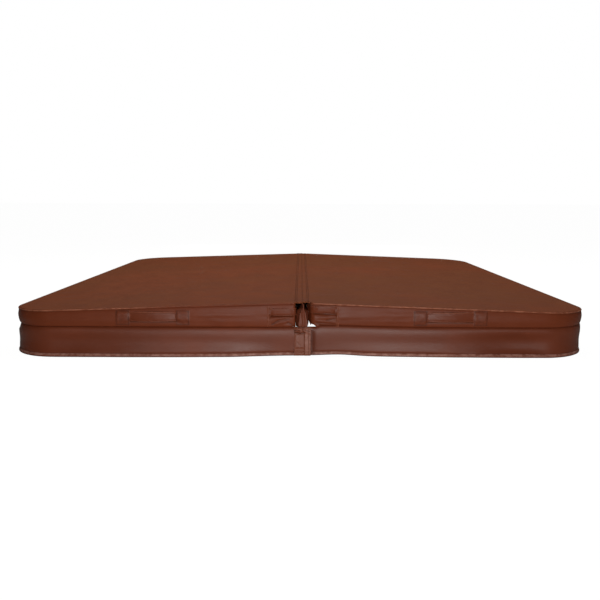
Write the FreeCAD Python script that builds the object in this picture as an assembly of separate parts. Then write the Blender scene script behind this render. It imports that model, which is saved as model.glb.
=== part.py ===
"""Bi-fold spa cover: two tapered foam halves in vinyl jackets, joined by a fabric hinge along the fold.

Frame: X runs across the two halves, Y runs along the fold and Z is up. The front is at -Y. The origin
is the centre of the footprint, at the bottom hem of the skirt. Lengths are in millimetres, angles in
degrees. Each half is modelled on the +X side and mirrored for the left. STEP files go to parts/, one
for each node.
"""

import FreeCAD
import Part
import math
import os

Vector = FreeCAD.Vector

# Overall shape
COVER_WIDTH = 2388.0  # across both halves
COVER_DEPTH = 2388.0  # along the fold
CORNER_RADIUS = 203.0  # outer corners, in plan
FOLD_CORNER_RADIUS = 12.0  # corners beside the fold, in plan
FOLD_GAP = 50.0  # between the two fold walls
FOAM_FOLD_THICKNESS = 97.0
FOAM_EDGE_THICKNESS = 57.0
SKIRT_DROP = 123.0  # from the bottom seam to the hem

# Sheet goods, and the room between layers
VINYL = 1.2
FILM = 0.3
LAYER_GAP = 0.2
JOINT_GAP = 0.3  # between a piece and the moving piece beside it

# Hinge strip and heat seal
LEAF_THICKNESS = 2.4
LEAF_END_MARGIN = 4.0
SEAL_BOTTOM_WIDTH = 38.0
SEAL_TOP_WIDTH = 20.0
SEAL_BODY_HEIGHT = 54.0
SEAL_LIFT = 4.0  # above the bottom seam
SEAL_STEM = 2.4
SEAL_END_MARGIN = 10.0

# Steel channel in the fold edge of each foam core
CHANNEL_HEIGHT = 60.0
CHANNEL_LEG = 25.0
CHANNEL_SHEET = 1.0
CHANNEL_END_MARGIN = 40.0

# Vapour film: height of its heat-sealed seam above the bottom seam of the jacket
FILM_SEAM_LEVEL = 34.0

# Skirt, its overlap flaps and their hook and loop patches
SKIRT_INSET = 5.0  # of the left skirt, in from the side band
SKIRT_SHEET = 1.5
SKIRT_HEM_HEIGHT = 18.0
PILE_THICKNESS = 1.0  # a hook or loop patch
PILE_GAP = 0.5
PILE_WIDTH = 31.0
PILE_HEIGHT = 56.0
PILE_LEVEL = 24.0  # of its lower edge, above the hem
FLAP_SEAM_X = -30.0  # where a flap is sewn to the left skirt
FLAP_WIDTH = 62.0
FLAP_END_CLEARANCE = 0.8  # above the floor and below the bottom seam
SKIRT_UNDERLAP = 2.0  # of the right skirt, past the seam of the flap

# Zip in each fold wall
ZIP_LEVEL = 76.0  # above the bottom seam
ZIP_WIDTH = 25.0
ZIP_END_MARGIN = 60.0
TAPE_THICKNESS = 1.0
CHAIN_HEIGHT = 6.4
CHAIN_PROUD = 1.6
STOP_LENGTH = 4.0
STOP_PROUD = 0.6
SLIDER_LENGTH = 16.0
SLIDER_PLATE = 1.5
SLIDER_GAP = 0.4
BRIDGE_LENGTH = 4.8
BRIDGE_DEPTH = 3.4
BRIDGE_HEIGHT = 3.6
PIN_RADIUS = 0.87
PIN_CLEARANCE = 0.08
PULL_LENGTH = 15.5
PULL_SHEET = 1.2
PULL_ARM_RADIUS = 1.2
PULL_ARM_LENGTH = 4.5

# Drain screens in the underside
SCREEN_RADIUS = 16.0
SCREEN_FOLD_MARGIN = 110.0
SCREEN_END_MARGIN = 260.0

# Carrying handles at the middle of each half
STRAP_WIDTH = 38.0
STRAP_THICKNESS = 3.0
OUTER_HANDLE_OFFSET = 11.5  # of its middle, from the middle of the half towards the fold
OUTER_HANDLE_SPAN = 184.0  # between the patches
OUTER_HANDLE_BOW = 12.0
OUTER_HANDLE_LEVEL = 44.0  # of its middle, above the bottom seam
PATCH_WIDTH = 58.0
PATCH_HEIGHT = 66.0
PATCH_LEVEL = 5.0  # of its lower edge, above the bottom seam
PATCH_THICKNESS = 1.5

# Fold handles, each sewn to the front and round the corner to the fold wall
FOLD_STRAP_WIDTH = 30.0
FOLD_HANDLE_REACH = 116.0  # from the fold wall to the far end
FOLD_HANDLE_BOW = 9.0
FOLD_HANDLE_LEVEL = 66.0  # of its middle, above the bottom seam
FOLD_HANDLE_TAB = 18.0
FOLD_HANDLE_TAIL = 36.0  # along the fold wall

# Tie-down straps and the tongues of their side-release buckles
TIE_OFFSET = 700.0  # from the middle of the cover, along Y
TIE_STRAP_WIDTH = 25.0
TIE_STRAP_THICKNESS = 3.2
TIE_DROP = 72.0  # from the strap's seam to the strap's sewn lower end
TIE_CLEARANCE = 1.0
BUCKLE_WIDTH = 32.0
BUCKLE_THICKNESS = 9.0
BUCKLE_BODY_HEIGHT = 20.0
BUCKLE_POCKET = 12.0
PRONG_THICKNESS = 5.0
PRONG_LENGTH = 26.0
PRONG_WIDTH = 5.0
PRONG_BARB = 2.5
TONGUE_WIDTH = 8.0

# Places that follow from the sizes above
WALL_STACK = VINYL + FILM + 2 * LAYER_GAP  # from the outside of the jacket to the foam
HALF_WIDTH = COVER_WIDTH / 2
HALF_DEPTH = COVER_DEPTH / 2
FOLD_X = FOLD_GAP / 2
SEAM_Z = SKIRT_DROP
FOAM_FOLD_X = FOLD_X + WALL_STACK
FOAM_OUTER_X = HALF_WIDTH - WALL_STACK
TAPER = (FOAM_FOLD_THICKNESS - FOAM_EDGE_THICKNESS) / (FOAM_OUTER_X - FOAM_FOLD_X)
CUT = 5.0  # how far a cutting solid runs past what it cuts

PILE_STACK = 2 * PILE_THICKNESS + PILE_GAP
LEFT_SKIRT_INSET = SKIRT_INSET
RIGHT_SKIRT_INSET = SKIRT_INSET + SKIRT_SHEET + PILE_STACK
TIE_INSET = RIGHT_SKIRT_INSET + SKIRT_SHEET + TIE_CLEARANCE + BUCKLE_THICKNESS / 2
SEAM_RETURN = TIE_INSET + BUCKLE_THICKNESS / 2 + TIE_CLEARANCE
FLAP_END_X = FLAP_SEAM_X + FLAP_WIDTH
SKIRT_RIGHT_END_X = FLAP_SEAM_X - SKIRT_UNDERLAP

ZIP_Z = SEAM_Z + ZIP_LEVEL
ZIP_HALF_LENGTH = HALF_DEPTH - ZIP_END_MARGIN
SLIDER_Y = -(ZIP_HALF_LENGTH - STOP_LENGTH - SLIDER_LENGTH / 2 - SLIDER_GAP)
SLIDER_FACE_X = FOLD_X - CHAIN_PROUD - SLIDER_GAP - SLIDER_PLATE
PULL_X = SLIDER_FACE_X - BRIDGE_DEPTH / 2

OUTER_HANDLE_X = (FOLD_X + HALF_WIDTH) / 2 - OUTER_HANDLE_OFFSET
OUTER_HANDLE_Z = SEAM_Z + OUTER_HANDLE_LEVEL
FOLD_HANDLE_Z = SEAM_Z + FOLD_HANDLE_LEVEL

TIE_X = HALF_WIDTH - TIE_INSET
TIE_AXIS_Z = SEAM_Z - JOINT_GAP - TIE_STRAP_THICKNESS / 2
BUCKLE_TOP_Z = SEAM_Z - TIE_DROP + BUCKLE_POCKET
BUCKLE_TIP_Z = BUCKLE_TOP_Z - BUCKLE_BODY_HEIGHT - PRONG_LENGTH


def top_z(x):
    """Height of the cover's top face at a distance x from the fold line."""
    return SEAM_Z + 2 * WALL_STACK + FOAM_FOLD_THICKNESS - TAPER * (abs(x) - FOAM_FOLD_X)


HINGE_Z = top_z(0)


# Shape helpers


def box(x_low, x_high, y_low, y_high, z_low, z_high):
    """A box between two corners."""
    size = (x_high - x_low, y_high - y_low, z_high - z_low)
    return Part.makeBox(*size, Vector(x_low, y_low, z_low))


def polygon_face(points):
    """A flat face from its corners, in order."""
    return Part.Face(Part.makePolygon(points + points[:1]))


def prism_along_y(outline, y_low, y_high):
    """A solid from an outline of (x, z) corners, between two places along Y."""
    face = polygon_face([Vector(x, y_low, z) for x, z in outline])
    return face.extrude(Vector(0, y_high - y_low, 0))


def arc(centre, radius, start, end):
    """An arc in the XY plane, from a start to an end angle."""
    middle = (start + end) / 2
    points = [
        Vector(
            centre[0] + radius * math.cos(math.radians(angle)),
            centre[1] + radius * math.sin(math.radians(angle)),
            0,
        )
        for angle in (start, middle, end)
    ]
    return Part.Arc(*points).toShape()


def joined_face(edges):
    """A face in the XY plane from edges in order, with straight edges across any gap between them."""
    filled = []
    for edge, following in zip(edges, edges[1:] + edges[:1]):
        filled.append(edge)
        end, start = last_point(edge), first_point(following)
        if end.distanceToPoint(start) > 1e-6:
            filled.append(Part.makeLine(end, start))
    return Part.Face(Part.Wire(filled))


def first_point(edge):
    """Where an edge begins."""
    return edge.valueAt(edge.FirstParameter)


def last_point(edge):
    """Where an edge ends."""
    return edge.valueAt(edge.LastParameter)


def rounded_face(x_low, x_high, y_half, radius_low, radius_high):
    """A rectangle about the X axis, with its own corner radius at each end of X."""
    corners = [
        arc((x_high - radius_high, y_half - radius_high), radius_high, 0, 90),
        arc((x_low + radius_low, y_half - radius_low), radius_low, 90, 180),
        arc((x_low + radius_low, -y_half + radius_low), radius_low, 180, 270),
        arc((x_high - radius_high, -y_half + radius_high), radius_high, 270, 360),
    ]
    return joined_face(corners)


def half_face(inset):
    """The plan of the right half, drawn in by an inset."""
    return rounded_face(
        FOLD_X + inset,
        HALF_WIDTH - inset,
        HALF_DEPTH - inset,
        FOLD_CORNER_RADIUS - inset,
        CORNER_RADIUS - inset,
    )


def skirt_face(inset):
    """The plan inside a skirt's outer face, run on past the fold line, where it is cut to length."""
    return rounded_face(
        SKIRT_RIGHT_END_X - CUT - CORNER_RADIUS,
        HALF_WIDTH - inset,
        HALF_DEPTH - inset,
        FOLD_CORNER_RADIUS,
        CORNER_RADIUS - inset,
    )


def column(face, z_low, z_high):
    """A face drawn at height 0, raised and extruded between two heights."""
    solid = face.extrude(Vector(0, 0, z_high - z_low))
    solid.translate(Vector(0, 0, z_low))
    return solid


def under_the_top(z_low, drop):
    """All the space of the right half between a height and the top face lowered by a drop."""
    x_high = HALF_WIDTH + CUT
    outline = [(0, z_low), (x_high, z_low), (x_high, top_z(x_high) - drop), (0, top_z(0) - drop)]
    return prism_along_y(outline, -HALF_DEPTH - CUT, HALF_DEPTH + CUT)


def tapered(face, z_low, drop):
    """A face carried from a height up to the top face lowered by a drop."""
    return column(face, z_low, HINGE_Z + CUT).common(under_the_top(z_low, drop))


def to_left(shape):
    """The mirror image in the fold line."""
    return shape.mirror(Vector(0, 0, 0), Vector(1, 0, 0))


def to_back(shape):
    """The mirror image from front to back."""
    return shape.mirror(Vector(0, 0, 0), Vector(0, 1, 0))


def at_both_ends(shape):
    """A piece at the front and its image at the back."""
    return [shape, to_back(shape)]


# The filling of a half


def channel_solid(growth):
    """The C-channel in the foam's fold edge. With a growth, the room that the foam leaves for it."""
    middle = SEAM_Z + WALL_STACK + FOAM_FOLD_THICKNESS / 2
    low = middle - CHANNEL_HEIGHT / 2 - growth
    high = middle + CHANNEL_HEIGHT / 2 + growth
    face_x = FOAM_FOLD_X - (CUT if growth else 0)
    web_x = FOAM_FOLD_X + CHANNEL_SHEET + growth
    leg_x = FOAM_FOLD_X + CHANNEL_LEG + growth
    sheet = CHANNEL_SHEET + 2 * growth
    outline = [
        (face_x, low),
        (leg_x, low),
        (leg_x, low + sheet),
        (web_x, low + sheet),
        (web_x, high - sheet),
        (leg_x, high - sheet),
        (leg_x, high),
        (face_x, high),
    ]
    reach = HALF_DEPTH - WALL_STACK - CHANNEL_END_MARGIN + growth
    return prism_along_y(outline, -reach, reach)


def foam_core():
    """The tapered foam slab, slotted for the channel."""
    slab = tapered(half_face(WALL_STACK), SEAM_Z + WALL_STACK, WALL_STACK)
    return slab.cut(channel_solid(LAYER_GAP))


def vapour_wrap():
    """The film round the foam: an upper and a lower sheet, heat-sealed to each other round the sides."""
    outer = tapered(half_face(VINYL + LAYER_GAP), SEAM_Z + VINYL + LAYER_GAP, VINYL + LAYER_GAP)
    inset = WALL_STACK - LAYER_GAP
    inner = tapered(half_face(inset), SEAM_Z + inset, inset)
    shell = outer.cut(inner)
    below = column(half_face(0), SEAM_Z, SEAM_Z + FILM_SEAM_LEVEL)
    return [shell.common(below), shell.cut(below)]


# The jacket of a half


def top_panel():
    """The top sheet, over the whole half."""
    whole = tapered(half_face(0), SEAM_Z, 0)
    return whole.cut(under_the_top(SEAM_Z - CUT, VINYL))


def wall_ring(z_low):
    """The jacket's upright sheet right round the half, from a height to the underside of the top sheet."""
    outer = tapered(half_face(0), z_low, VINYL)
    return outer.cut(column(half_face(VINYL), z_low - CUT, HINGE_Z + CUT))


def beyond(x_low):
    """All the space on the outer side of a place along X."""
    return box(x_low, HALF_WIDTH + CUT, -HALF_DEPTH - CUT, HALF_DEPTH + CUT, -CUT, HINGE_Z + CUT)


def underside_face(inset):
    """The plan inside the turned-in seam, run on past the fold so that it stays open there."""
    return rounded_face(
        FOLD_X - CUT,
        HALF_WIDTH - inset,
        HALF_DEPTH - inset,
        VINYL,
        CORNER_RADIUS - inset,
    )


def side_band():
    """The band round the front, outer side and back, with its seam allowance turned in underneath."""
    wall = wall_ring(SEAM_Z)
    sheet = column(half_face(VINYL / 2), SEAM_Z, SEAM_Z + VINYL)
    allowance = sheet.cut(column(underside_face(SEAM_RETURN), SEAM_Z - CUT, SEAM_Z + CUT))
    return wall.fuse(allowance).common(beyond(FOLD_X + FOLD_CORNER_RADIUS)).removeSplitter()


def fold_band():
    """The wall beside the fold, with its window for the zip."""
    wall = wall_ring(SEAM_Z).cut(beyond(FOLD_X + FOLD_CORNER_RADIUS))
    window = box(
        FOLD_X - CUT,
        FOLD_X + CUT,
        -ZIP_HALF_LENGTH,
        ZIP_HALF_LENGTH,
        ZIP_Z - ZIP_WIDTH / 2,
        ZIP_Z + ZIP_WIDTH / 2,
    )
    return wall.cut(window)


def screens():
    """The drain screens: flush discs near the fold, one towards each end."""
    place = Vector(FOLD_X + SCREEN_FOLD_MARGIN, -(HALF_DEPTH - SCREEN_END_MARGIN), SEAM_Z)
    return at_both_ends(Part.makeCylinder(SCREEN_RADIUS, VINYL, place))


def bottom_panel():
    """The bottom sheet inside the turned-in seam, with holes for the drain screens."""
    sheet = column(underside_face(SEAM_RETURN + LAYER_GAP), SEAM_Z, SEAM_Z + VINYL)
    sheet = sheet.common(beyond(FOLD_X + VINYL + LAYER_GAP))
    for place in screens():
        centre = place.CenterOfMass
        hole = Part.makeCylinder(
            SCREEN_RADIUS + LAYER_GAP, VINYL + 2 * CUT, Vector(centre.x, centre.y, SEAM_Z - CUT)
        )
        sheet = sheet.cut(hole)
    return sheet


# The zip in a fold wall


def zip_tapes():
    """The upper and lower tape, between the window's edges and the chain."""
    x_low = FOLD_X + (VINYL - TAPE_THICKNESS) / 2
    tapes = []
    for side in (-1, 1):
        inner = ZIP_Z + side * CHAIN_HEIGHT / 2
        outer = ZIP_Z + side * ZIP_WIDTH / 2
        z_low, z_high = sorted((inner, outer))
        tapes.append(
            box(x_low, x_low + TAPE_THICKNESS, -ZIP_HALF_LENGTH, ZIP_HALF_LENGTH, z_low, z_high)
        )
    return tapes


def zip_chain():
    """The closed coil as one bar, and the stop at each end of it."""
    x_back = FOLD_X + TAPE_THICKNESS
    reach = ZIP_HALF_LENGTH - STOP_LENGTH
    half = CHAIN_HEIGHT / 2
    coil = box(FOLD_X - CHAIN_PROUD, x_back, -reach, reach, ZIP_Z - half, ZIP_Z + half)
    stop = box(
        FOLD_X - CHAIN_PROUD - STOP_PROUD,
        x_back,
        -ZIP_HALF_LENGTH,
        -reach,
        ZIP_Z - half,
        ZIP_Z + half,
    )
    return [coil] + at_both_ends(stop)


def zip_slider():
    """The slider: a cap over the coil, with a bridge that carries the pull."""
    outer_half = CHAIN_HEIGHT / 2 + SLIDER_GAP + SLIDER_PLATE
    inner_half = CHAIN_HEIGHT / 2 + SLIDER_GAP
    y_low, y_high = SLIDER_Y - SLIDER_LENGTH / 2, SLIDER_Y + SLIDER_LENGTH / 2
    x_open = FOLD_X - SLIDER_GAP + (VINYL - TAPE_THICKNESS) / 2
    cap = box(SLIDER_FACE_X, x_open, y_low, y_high, ZIP_Z - outer_half, ZIP_Z + outer_half)
    throat = box(
        SLIDER_FACE_X + SLIDER_PLATE,
        x_open + CUT,
        y_low - CUT,
        y_high + CUT,
        ZIP_Z - inner_half,
        ZIP_Z + inner_half,
    )
    bridge = box(
        SLIDER_FACE_X - BRIDGE_DEPTH,
        SLIDER_FACE_X,
        SLIDER_Y - BRIDGE_LENGTH / 2,
        SLIDER_Y + BRIDGE_LENGTH / 2,
        ZIP_Z - BRIDGE_HEIGHT / 2,
        ZIP_Z + BRIDGE_HEIGHT / 2,
    )
    bore = pull_pin(PIN_RADIUS + PIN_CLEARANCE, BRIDGE_LENGTH + 2 * CUT)
    return cap.cut(throat).fuse(bridge).removeSplitter().cut(bore)


def pull_pin(radius, length):
    """A cylinder on the pull's axis, centred on the slider."""
    start = Vector(PULL_X, SLIDER_Y - length / 2, ZIP_Z)
    return Part.makeCylinder(radius, length, start, Vector(0, 1, 0))


def zip_pull():
    """The pull: a plate hung from two arms, with a pin through the slider's bridge."""
    arm_inner = BRIDGE_LENGTH / 2 + JOINT_GAP
    arm_outer = arm_inner + PULL_SHEET
    pull = pull_pin(PIN_RADIUS, 2 * arm_inner)
    half_sheet = PULL_SHEET / 2
    for side in (-1, 1):
        y_low, y_high = sorted((SLIDER_Y + side * arm_inner, SLIDER_Y + side * arm_outer))
        eye_start = Vector(PULL_X, y_low, ZIP_Z)
        eye = Part.makeCylinder(PULL_ARM_RADIUS, PULL_SHEET, eye_start, Vector(0, 1, 0))
        arm = box(
            PULL_X - half_sheet, PULL_X + half_sheet, y_low, y_high, ZIP_Z - PULL_ARM_LENGTH, ZIP_Z
        )
        pull = pull.fuse(eye).fuse(arm)
    plate = box(
        PULL_X - half_sheet,
        PULL_X + half_sheet,
        SLIDER_Y - arm_outer,
        SLIDER_Y + arm_outer,
        ZIP_Z - PULL_LENGTH,
        ZIP_Z - PULL_ARM_LENGTH,
    )
    return pull.fuse(plate).removeSplitter()


# The skirt


def skirt(inset, end_x):
    """A skirt with a folded hem, cut off at end_x. It is drawn on the right side."""
    sheet = column(skirt_face(inset).cut(skirt_face(inset + SKIRT_SHEET)), 0, SEAM_Z)
    hem_ring = skirt_face(inset + SKIRT_SHEET).cut(skirt_face(inset + 2 * SKIRT_SHEET))
    whole = sheet.fuse(column(hem_ring, 0, SKIRT_HEM_HEIGHT)).removeSplitter()
    return whole.common(beyond(end_x))


def in_lengths(sheet):
    """A skirt as the lengths that it is sewn from: two ends, two corners and the side between them."""
    turn_x, turn_y = HALF_WIDTH - CORNER_RADIUS, HALF_DEPTH - CORNER_RADIUS
    far_x, far_y = HALF_WIDTH + CUT, HALF_DEPTH + CUT
    lengths = []
    for y_low, y_high in ((-far_y, -turn_y), (-turn_y, turn_y), (turn_y, far_y)):
        for x_low, x_high in ((-turn_x, turn_x), (turn_x, far_x)):
            lengths += sheet.common(box(x_low, x_high, y_low, y_high, -CUT, SEAM_Z + CUT)).Solids
    return lengths


def flap_front():
    """The flap that closes the front of the skirt over the fold."""
    return box(
        FLAP_SEAM_X + JOINT_GAP,
        FLAP_END_X,
        -HALF_DEPTH + LEFT_SKIRT_INSET,
        -HALF_DEPTH + LEFT_SKIRT_INSET + SKIRT_SHEET,
        FLAP_END_CLEARANCE,
        SEAM_Z - FLAP_END_CLEARANCE,
    )


def pile_front(depth):
    """A hook or loop patch of the front flap, at a depth behind the flap's inner face."""
    y_low = -HALF_DEPTH + LEFT_SKIRT_INSET + SKIRT_SHEET + depth
    x_low = FLAP_SEAM_X + JOINT_GAP
    return box(
        x_low, x_low + PILE_WIDTH, y_low, y_low + PILE_THICKNESS, PILE_LEVEL, PILE_LEVEL + PILE_HEIGHT
    )


# The hinge and the heat seal


def hinge_leaf():
    """The half of the hinge strip on the right of the fold line."""
    reach = HALF_DEPTH - LEAF_END_MARGIN
    low = HINGE_Z - 2 * LEAF_THICKNESS
    blank = box(JOINT_GAP / 2, FOLD_X, -reach, reach, low, HINGE_Z + CUT)
    return blank.common(under_the_top(SEAM_Z, 0)).cut(under_the_top(SEAM_Z, LEAF_THICKNESS))


def seal_section(inset):
    """The outline of the heat seal's body, drawn in by an inset."""
    low = SEAM_Z + SEAL_LIFT
    high = low + SEAL_BODY_HEIGHT
    bottom, top = SEAL_BOTTOM_WIDTH / 2, SEAL_TOP_WIDTH / 2
    lean = (bottom - top) / SEAL_BODY_HEIGHT
    side_inset = inset * math.hypot(1, lean)
    low_half = bottom - lean * inset - side_inset
    high_half = top + lean * inset - side_inset
    return [
        (-low_half, low + inset),
        (low_half, low + inset),
        (high_half, high - inset),
        (-high_half, high - inset),
    ]


def seal_sleeve():
    """The vinyl sleeve of the heat seal, and the stem that hangs it from the left leaf."""
    reach = HALF_DEPTH - SEAL_END_MARGIN
    body = prism_along_y(seal_section(0), -reach, reach)
    body = body.cut(prism_along_y(seal_section(VINYL), -reach - CUT, reach + CUT))
    top = SEAM_Z + SEAL_LIFT + SEAL_BODY_HEIGHT
    x_low = JOINT_GAP / 2
    stem = box(x_low, x_low + SEAL_STEM, -reach, reach, top - VINYL / 2, HINGE_Z + CUT)
    stem = to_left(stem.common(under_the_top(SEAM_Z, LEAF_THICKNESS)))
    return body.fuse(stem).removeSplitter()


def seal_core():
    """The foam strip in the sleeve."""
    reach = HALF_DEPTH - SEAL_END_MARGIN - LAYER_GAP
    return prism_along_y(seal_section(VINYL + LAYER_GAP), -reach, reach)


def seal_end():
    """The vinyl piece that closes the sleeve at the front."""
    face_y = -(HALF_DEPTH - SEAL_END_MARGIN)
    return prism_along_y(seal_section(0), face_y - VINYL, face_y)


# Handles


def bow_edge(x_low, x_high, y_base, bow):
    """A shallow arc from x_low to x_high at the front, bowed outwards, towards -Y."""
    middle = (x_low + x_high) / 2
    return Part.Arc(
        Vector(x_low, y_base, 0), Vector(middle, y_base - bow, 0), Vector(x_high, y_base, 0)
    ).toShape()


def line(start, end):
    """A straight edge in the XY plane."""
    return Part.makeLine(Vector(start[0], start[1], 0), Vector(end[0], end[1], 0))


def outer_handle():
    """The free strap of the front carrying handle, bowed out from the side band."""
    x_low = OUTER_HANDLE_X - OUTER_HANDLE_SPAN / 2 + JOINT_GAP
    x_high = OUTER_HANDLE_X + OUTER_HANDLE_SPAN / 2 - JOINT_GAP
    y_inner = -HALF_DEPTH - JOINT_GAP
    y_outer = y_inner - STRAP_THICKNESS
    inner = bow_edge(x_low, x_high, y_inner, OUTER_HANDLE_BOW)
    outer = bow_edge(x_low, x_high, y_outer, OUTER_HANDLE_BOW)
    ends = [line((x_low, y_outer), (x_low, y_inner)), line((x_high, y_inner), (x_high, y_outer))]
    face = Part.Face(Part.Wire([inner, ends[1], outer, ends[0]]))
    return column(face, OUTER_HANDLE_Z - STRAP_WIDTH / 2, OUTER_HANDLE_Z + STRAP_WIDTH / 2)


def handle_patches():
    """The four patches that hold the ends of the front and back carrying handles."""
    solids = []
    for side in (-1, 1):
        inner = OUTER_HANDLE_X + side * OUTER_HANDLE_SPAN / 2
        x_low, x_high = sorted((inner, inner + side * PATCH_WIDTH))
        patch = box(
            x_low,
            x_high,
            -HALF_DEPTH - PATCH_THICKNESS,
            -HALF_DEPTH,
            SEAM_Z + PATCH_LEVEL,
            SEAM_Z + PATCH_LEVEL + PATCH_HEIGHT,
        )
        solids += at_both_ends(patch)
    return solids


def fold_handle():
    """The front fold handle: sewn at its far end, bowed, turned round the corner and sewn again."""
    front = -HALF_DEPTH - LAYER_GAP
    side = FOLD_X - LAYER_GAP
    far_x = FOLD_X + FOLD_HANDLE_REACH
    tab_x = far_x - FOLD_HANDLE_TAB
    corner_x = FOLD_X + FOLD_CORNER_RADIUS
    centre = (corner_x, -HALF_DEPTH + FOLD_CORNER_RADIUS)
    tail_y = centre[1] + FOLD_HANDLE_TAIL
    inner_radius = FOLD_CORNER_RADIUS + LAYER_GAP
    outer_radius = inner_radius + STRAP_THICKNESS
    outer_front = front - STRAP_THICKNESS
    outer_side = side - STRAP_THICKNESS
    middle = (corner_x + tab_x) / 2
    outline = [
        line((far_x, outer_front), (far_x, front)),
        line((far_x, front), (tab_x, front)),
        Part.Arc(
            Vector(tab_x, front, 0),
            Vector(middle, front - FOLD_HANDLE_BOW, 0),
            Vector(corner_x, front, 0),
        ).toShape(),
        arc(centre, inner_radius, 270, 180),
        line((side, centre[1]), (side, tail_y)),
        line((side, tail_y), (outer_side, tail_y)),
        line((outer_side, tail_y), (outer_side, centre[1])),
        arc(centre, outer_radius, 180, 270),
        Part.Arc(
            Vector(corner_x, outer_front, 0),
            Vector(middle, outer_front - FOLD_HANDLE_BOW, 0),
            Vector(tab_x, outer_front, 0),
        ).toShape(),
        line((tab_x, outer_front), (far_x, outer_front)),
    ]
    face = Part.Face(Part.Wire(outline))
    return column(face, FOLD_HANDLE_Z - FOLD_STRAP_WIDTH / 2, FOLD_HANDLE_Z + FOLD_STRAP_WIDTH / 2)


# Tie-downs


def tie_strap():
    """The front tie-down strap of the right half, doubled, hanging behind the skirt."""
    half = TIE_STRAP_THICKNESS / 2
    y_low = -TIE_OFFSET - TIE_STRAP_WIDTH / 2
    y_high = -TIE_OFFSET + TIE_STRAP_WIDTH / 2
    end_z = BUCKLE_TOP_Z - BUCKLE_POCKET + LAYER_GAP
    web = box(TIE_X - half, TIE_X + half, y_low, y_high, end_z, TIE_AXIS_Z)
    fold_start = Vector(TIE_X, y_low, TIE_AXIS_Z)
    fold = Part.makeCylinder(half, TIE_STRAP_WIDTH, fold_start, Vector(0, 1, 0))
    return web.fuse(fold).removeSplitter()


def tie_buckle():
    """The tongue of the side-release buckle: a body with a pocket, two sprung arms and a guide."""
    body_low = BUCKLE_TOP_Z - BUCKLE_BODY_HEIGHT
    half_width, half_thick = BUCKLE_WIDTH / 2, BUCKLE_THICKNESS / 2
    half_prong = PRONG_THICKNESS / 2
    body = box(
        TIE_X - half_thick,
        TIE_X + half_thick,
        -TIE_OFFSET - half_width,
        -TIE_OFFSET + half_width,
        body_low,
        BUCKLE_TOP_Z,
    )
    pocket_half = TIE_STRAP_THICKNESS / 2 + LAYER_GAP
    pocket_reach = TIE_STRAP_WIDTH / 2 + LAYER_GAP
    pocket = box(
        TIE_X - pocket_half,
        TIE_X + pocket_half,
        -TIE_OFFSET - pocket_reach,
        -TIE_OFFSET + pocket_reach,
        BUCKLE_TOP_Z - BUCKLE_POCKET,
        BUCKLE_TOP_Z + CUT,
    )
    half_tongue = TONGUE_WIDTH / 2
    prongs = box(
        TIE_X - half_prong,
        TIE_X + half_prong,
        -TIE_OFFSET - half_tongue,
        -TIE_OFFSET + half_tongue,
        BUCKLE_TIP_Z,
        body_low,
    )
    for side in (-1, 1):
        root = -TIE_OFFSET + side * (half_width - PRONG_WIDTH)
        edge = -TIE_OFFSET + side * half_width
        barb = edge + side * PRONG_BARB
        barb_z = BUCKLE_TIP_Z + PRONG_LENGTH / 2
        outline = [(root, body_low), (edge, body_low), (edge, barb_z), (barb, barb_z), (root, BUCKLE_TIP_Z)]
        face = polygon_face([Vector(TIE_X - half_prong, y, z) for y, z in outline])
        prongs = prongs.fuse(face.extrude(Vector(PRONG_THICKNESS, 0, 0)))
    return body.cut(pocket).fuse(prongs).removeSplitter()


# Assembly


def half_nodes():
    """The nodes that are the same on both halves, drawn for the right one."""
    nodes = {
        "foam_core": [foam_core()],
        "stiffener_channel": [channel_solid(0)],
        "vapour_wrap": vapour_wrap(),
        "top_panel": [top_panel()],
        "side_band": [side_band()],
        "fold_band": [fold_band()],
        "bottom_panel": [bottom_panel()],
        "drain_screens": screens(),
        "zipper_tapes": zip_tapes(),
        "zipper_chain": zip_chain(),
        "zipper_slider": [zip_slider()],
        "zipper_pull": [zip_pull()],
        "hinge_leaf": [hinge_leaf()],
        "handle_patches": handle_patches(),
    }
    paired = {
        "outer_handle": outer_handle(),
        "fold_handle": fold_handle(),
        "tie_strap": tie_strap(),
        "tie_buckle": tie_buckle(),
    }
    for name, shape in paired.items():
        front, back = at_both_ends(shape)
        nodes[name + "_front"] = [front]
        nodes[name + "_back"] = [back]
    return nodes


def all_nodes():
    """Every node's name with its solids."""
    nodes = {}
    for name, shapes in half_nodes().items():
        nodes[name + "_right"] = shapes
        nodes[name + "_left"] = [to_left(shape) for shape in shapes]
    nodes["skirt_right"] = in_lengths(skirt(RIGHT_SKIRT_INSET, SKIRT_RIGHT_END_X))
    left_lengths = in_lengths(skirt(LEFT_SKIRT_INSET, -FLAP_SEAM_X))
    nodes["skirt_left"] = [to_left(length) for length in left_lengths]
    for name, shape in (("skirt_flap", flap_front()), ("flap_hook", pile_front(0))):
        nodes[name + "_front"], nodes[name + "_back"] = [[end] for end in at_both_ends(shape)]
    nodes["flap_loops"] = at_both_ends(pile_front(PILE_THICKNESS + PILE_GAP))
    nodes["heat_seal_sleeve"] = [seal_sleeve()]
    nodes["heat_seal_core"] = [seal_core()]
    nodes["heat_seal_ends"] = at_both_ends(seal_end())
    return nodes


def main():
    """Writes one STEP file for each node."""
    os.makedirs("parts", exist_ok=True)
    for name, shapes in sorted(all_nodes().items()):
        solids = [solid for shape in shapes for solid in shape.Solids]
        whole = solids[0] if len(solids) == 1 else Part.makeCompound(solids)
        whole.exportStep(f"parts/{name}.step")
        print(f"{name}: {len(solids)} solid(s), {whole.Volume / 1000:.1f} cm3, valid {whole.isValid()}")


if __name__ == "__main__":
    main()
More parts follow.
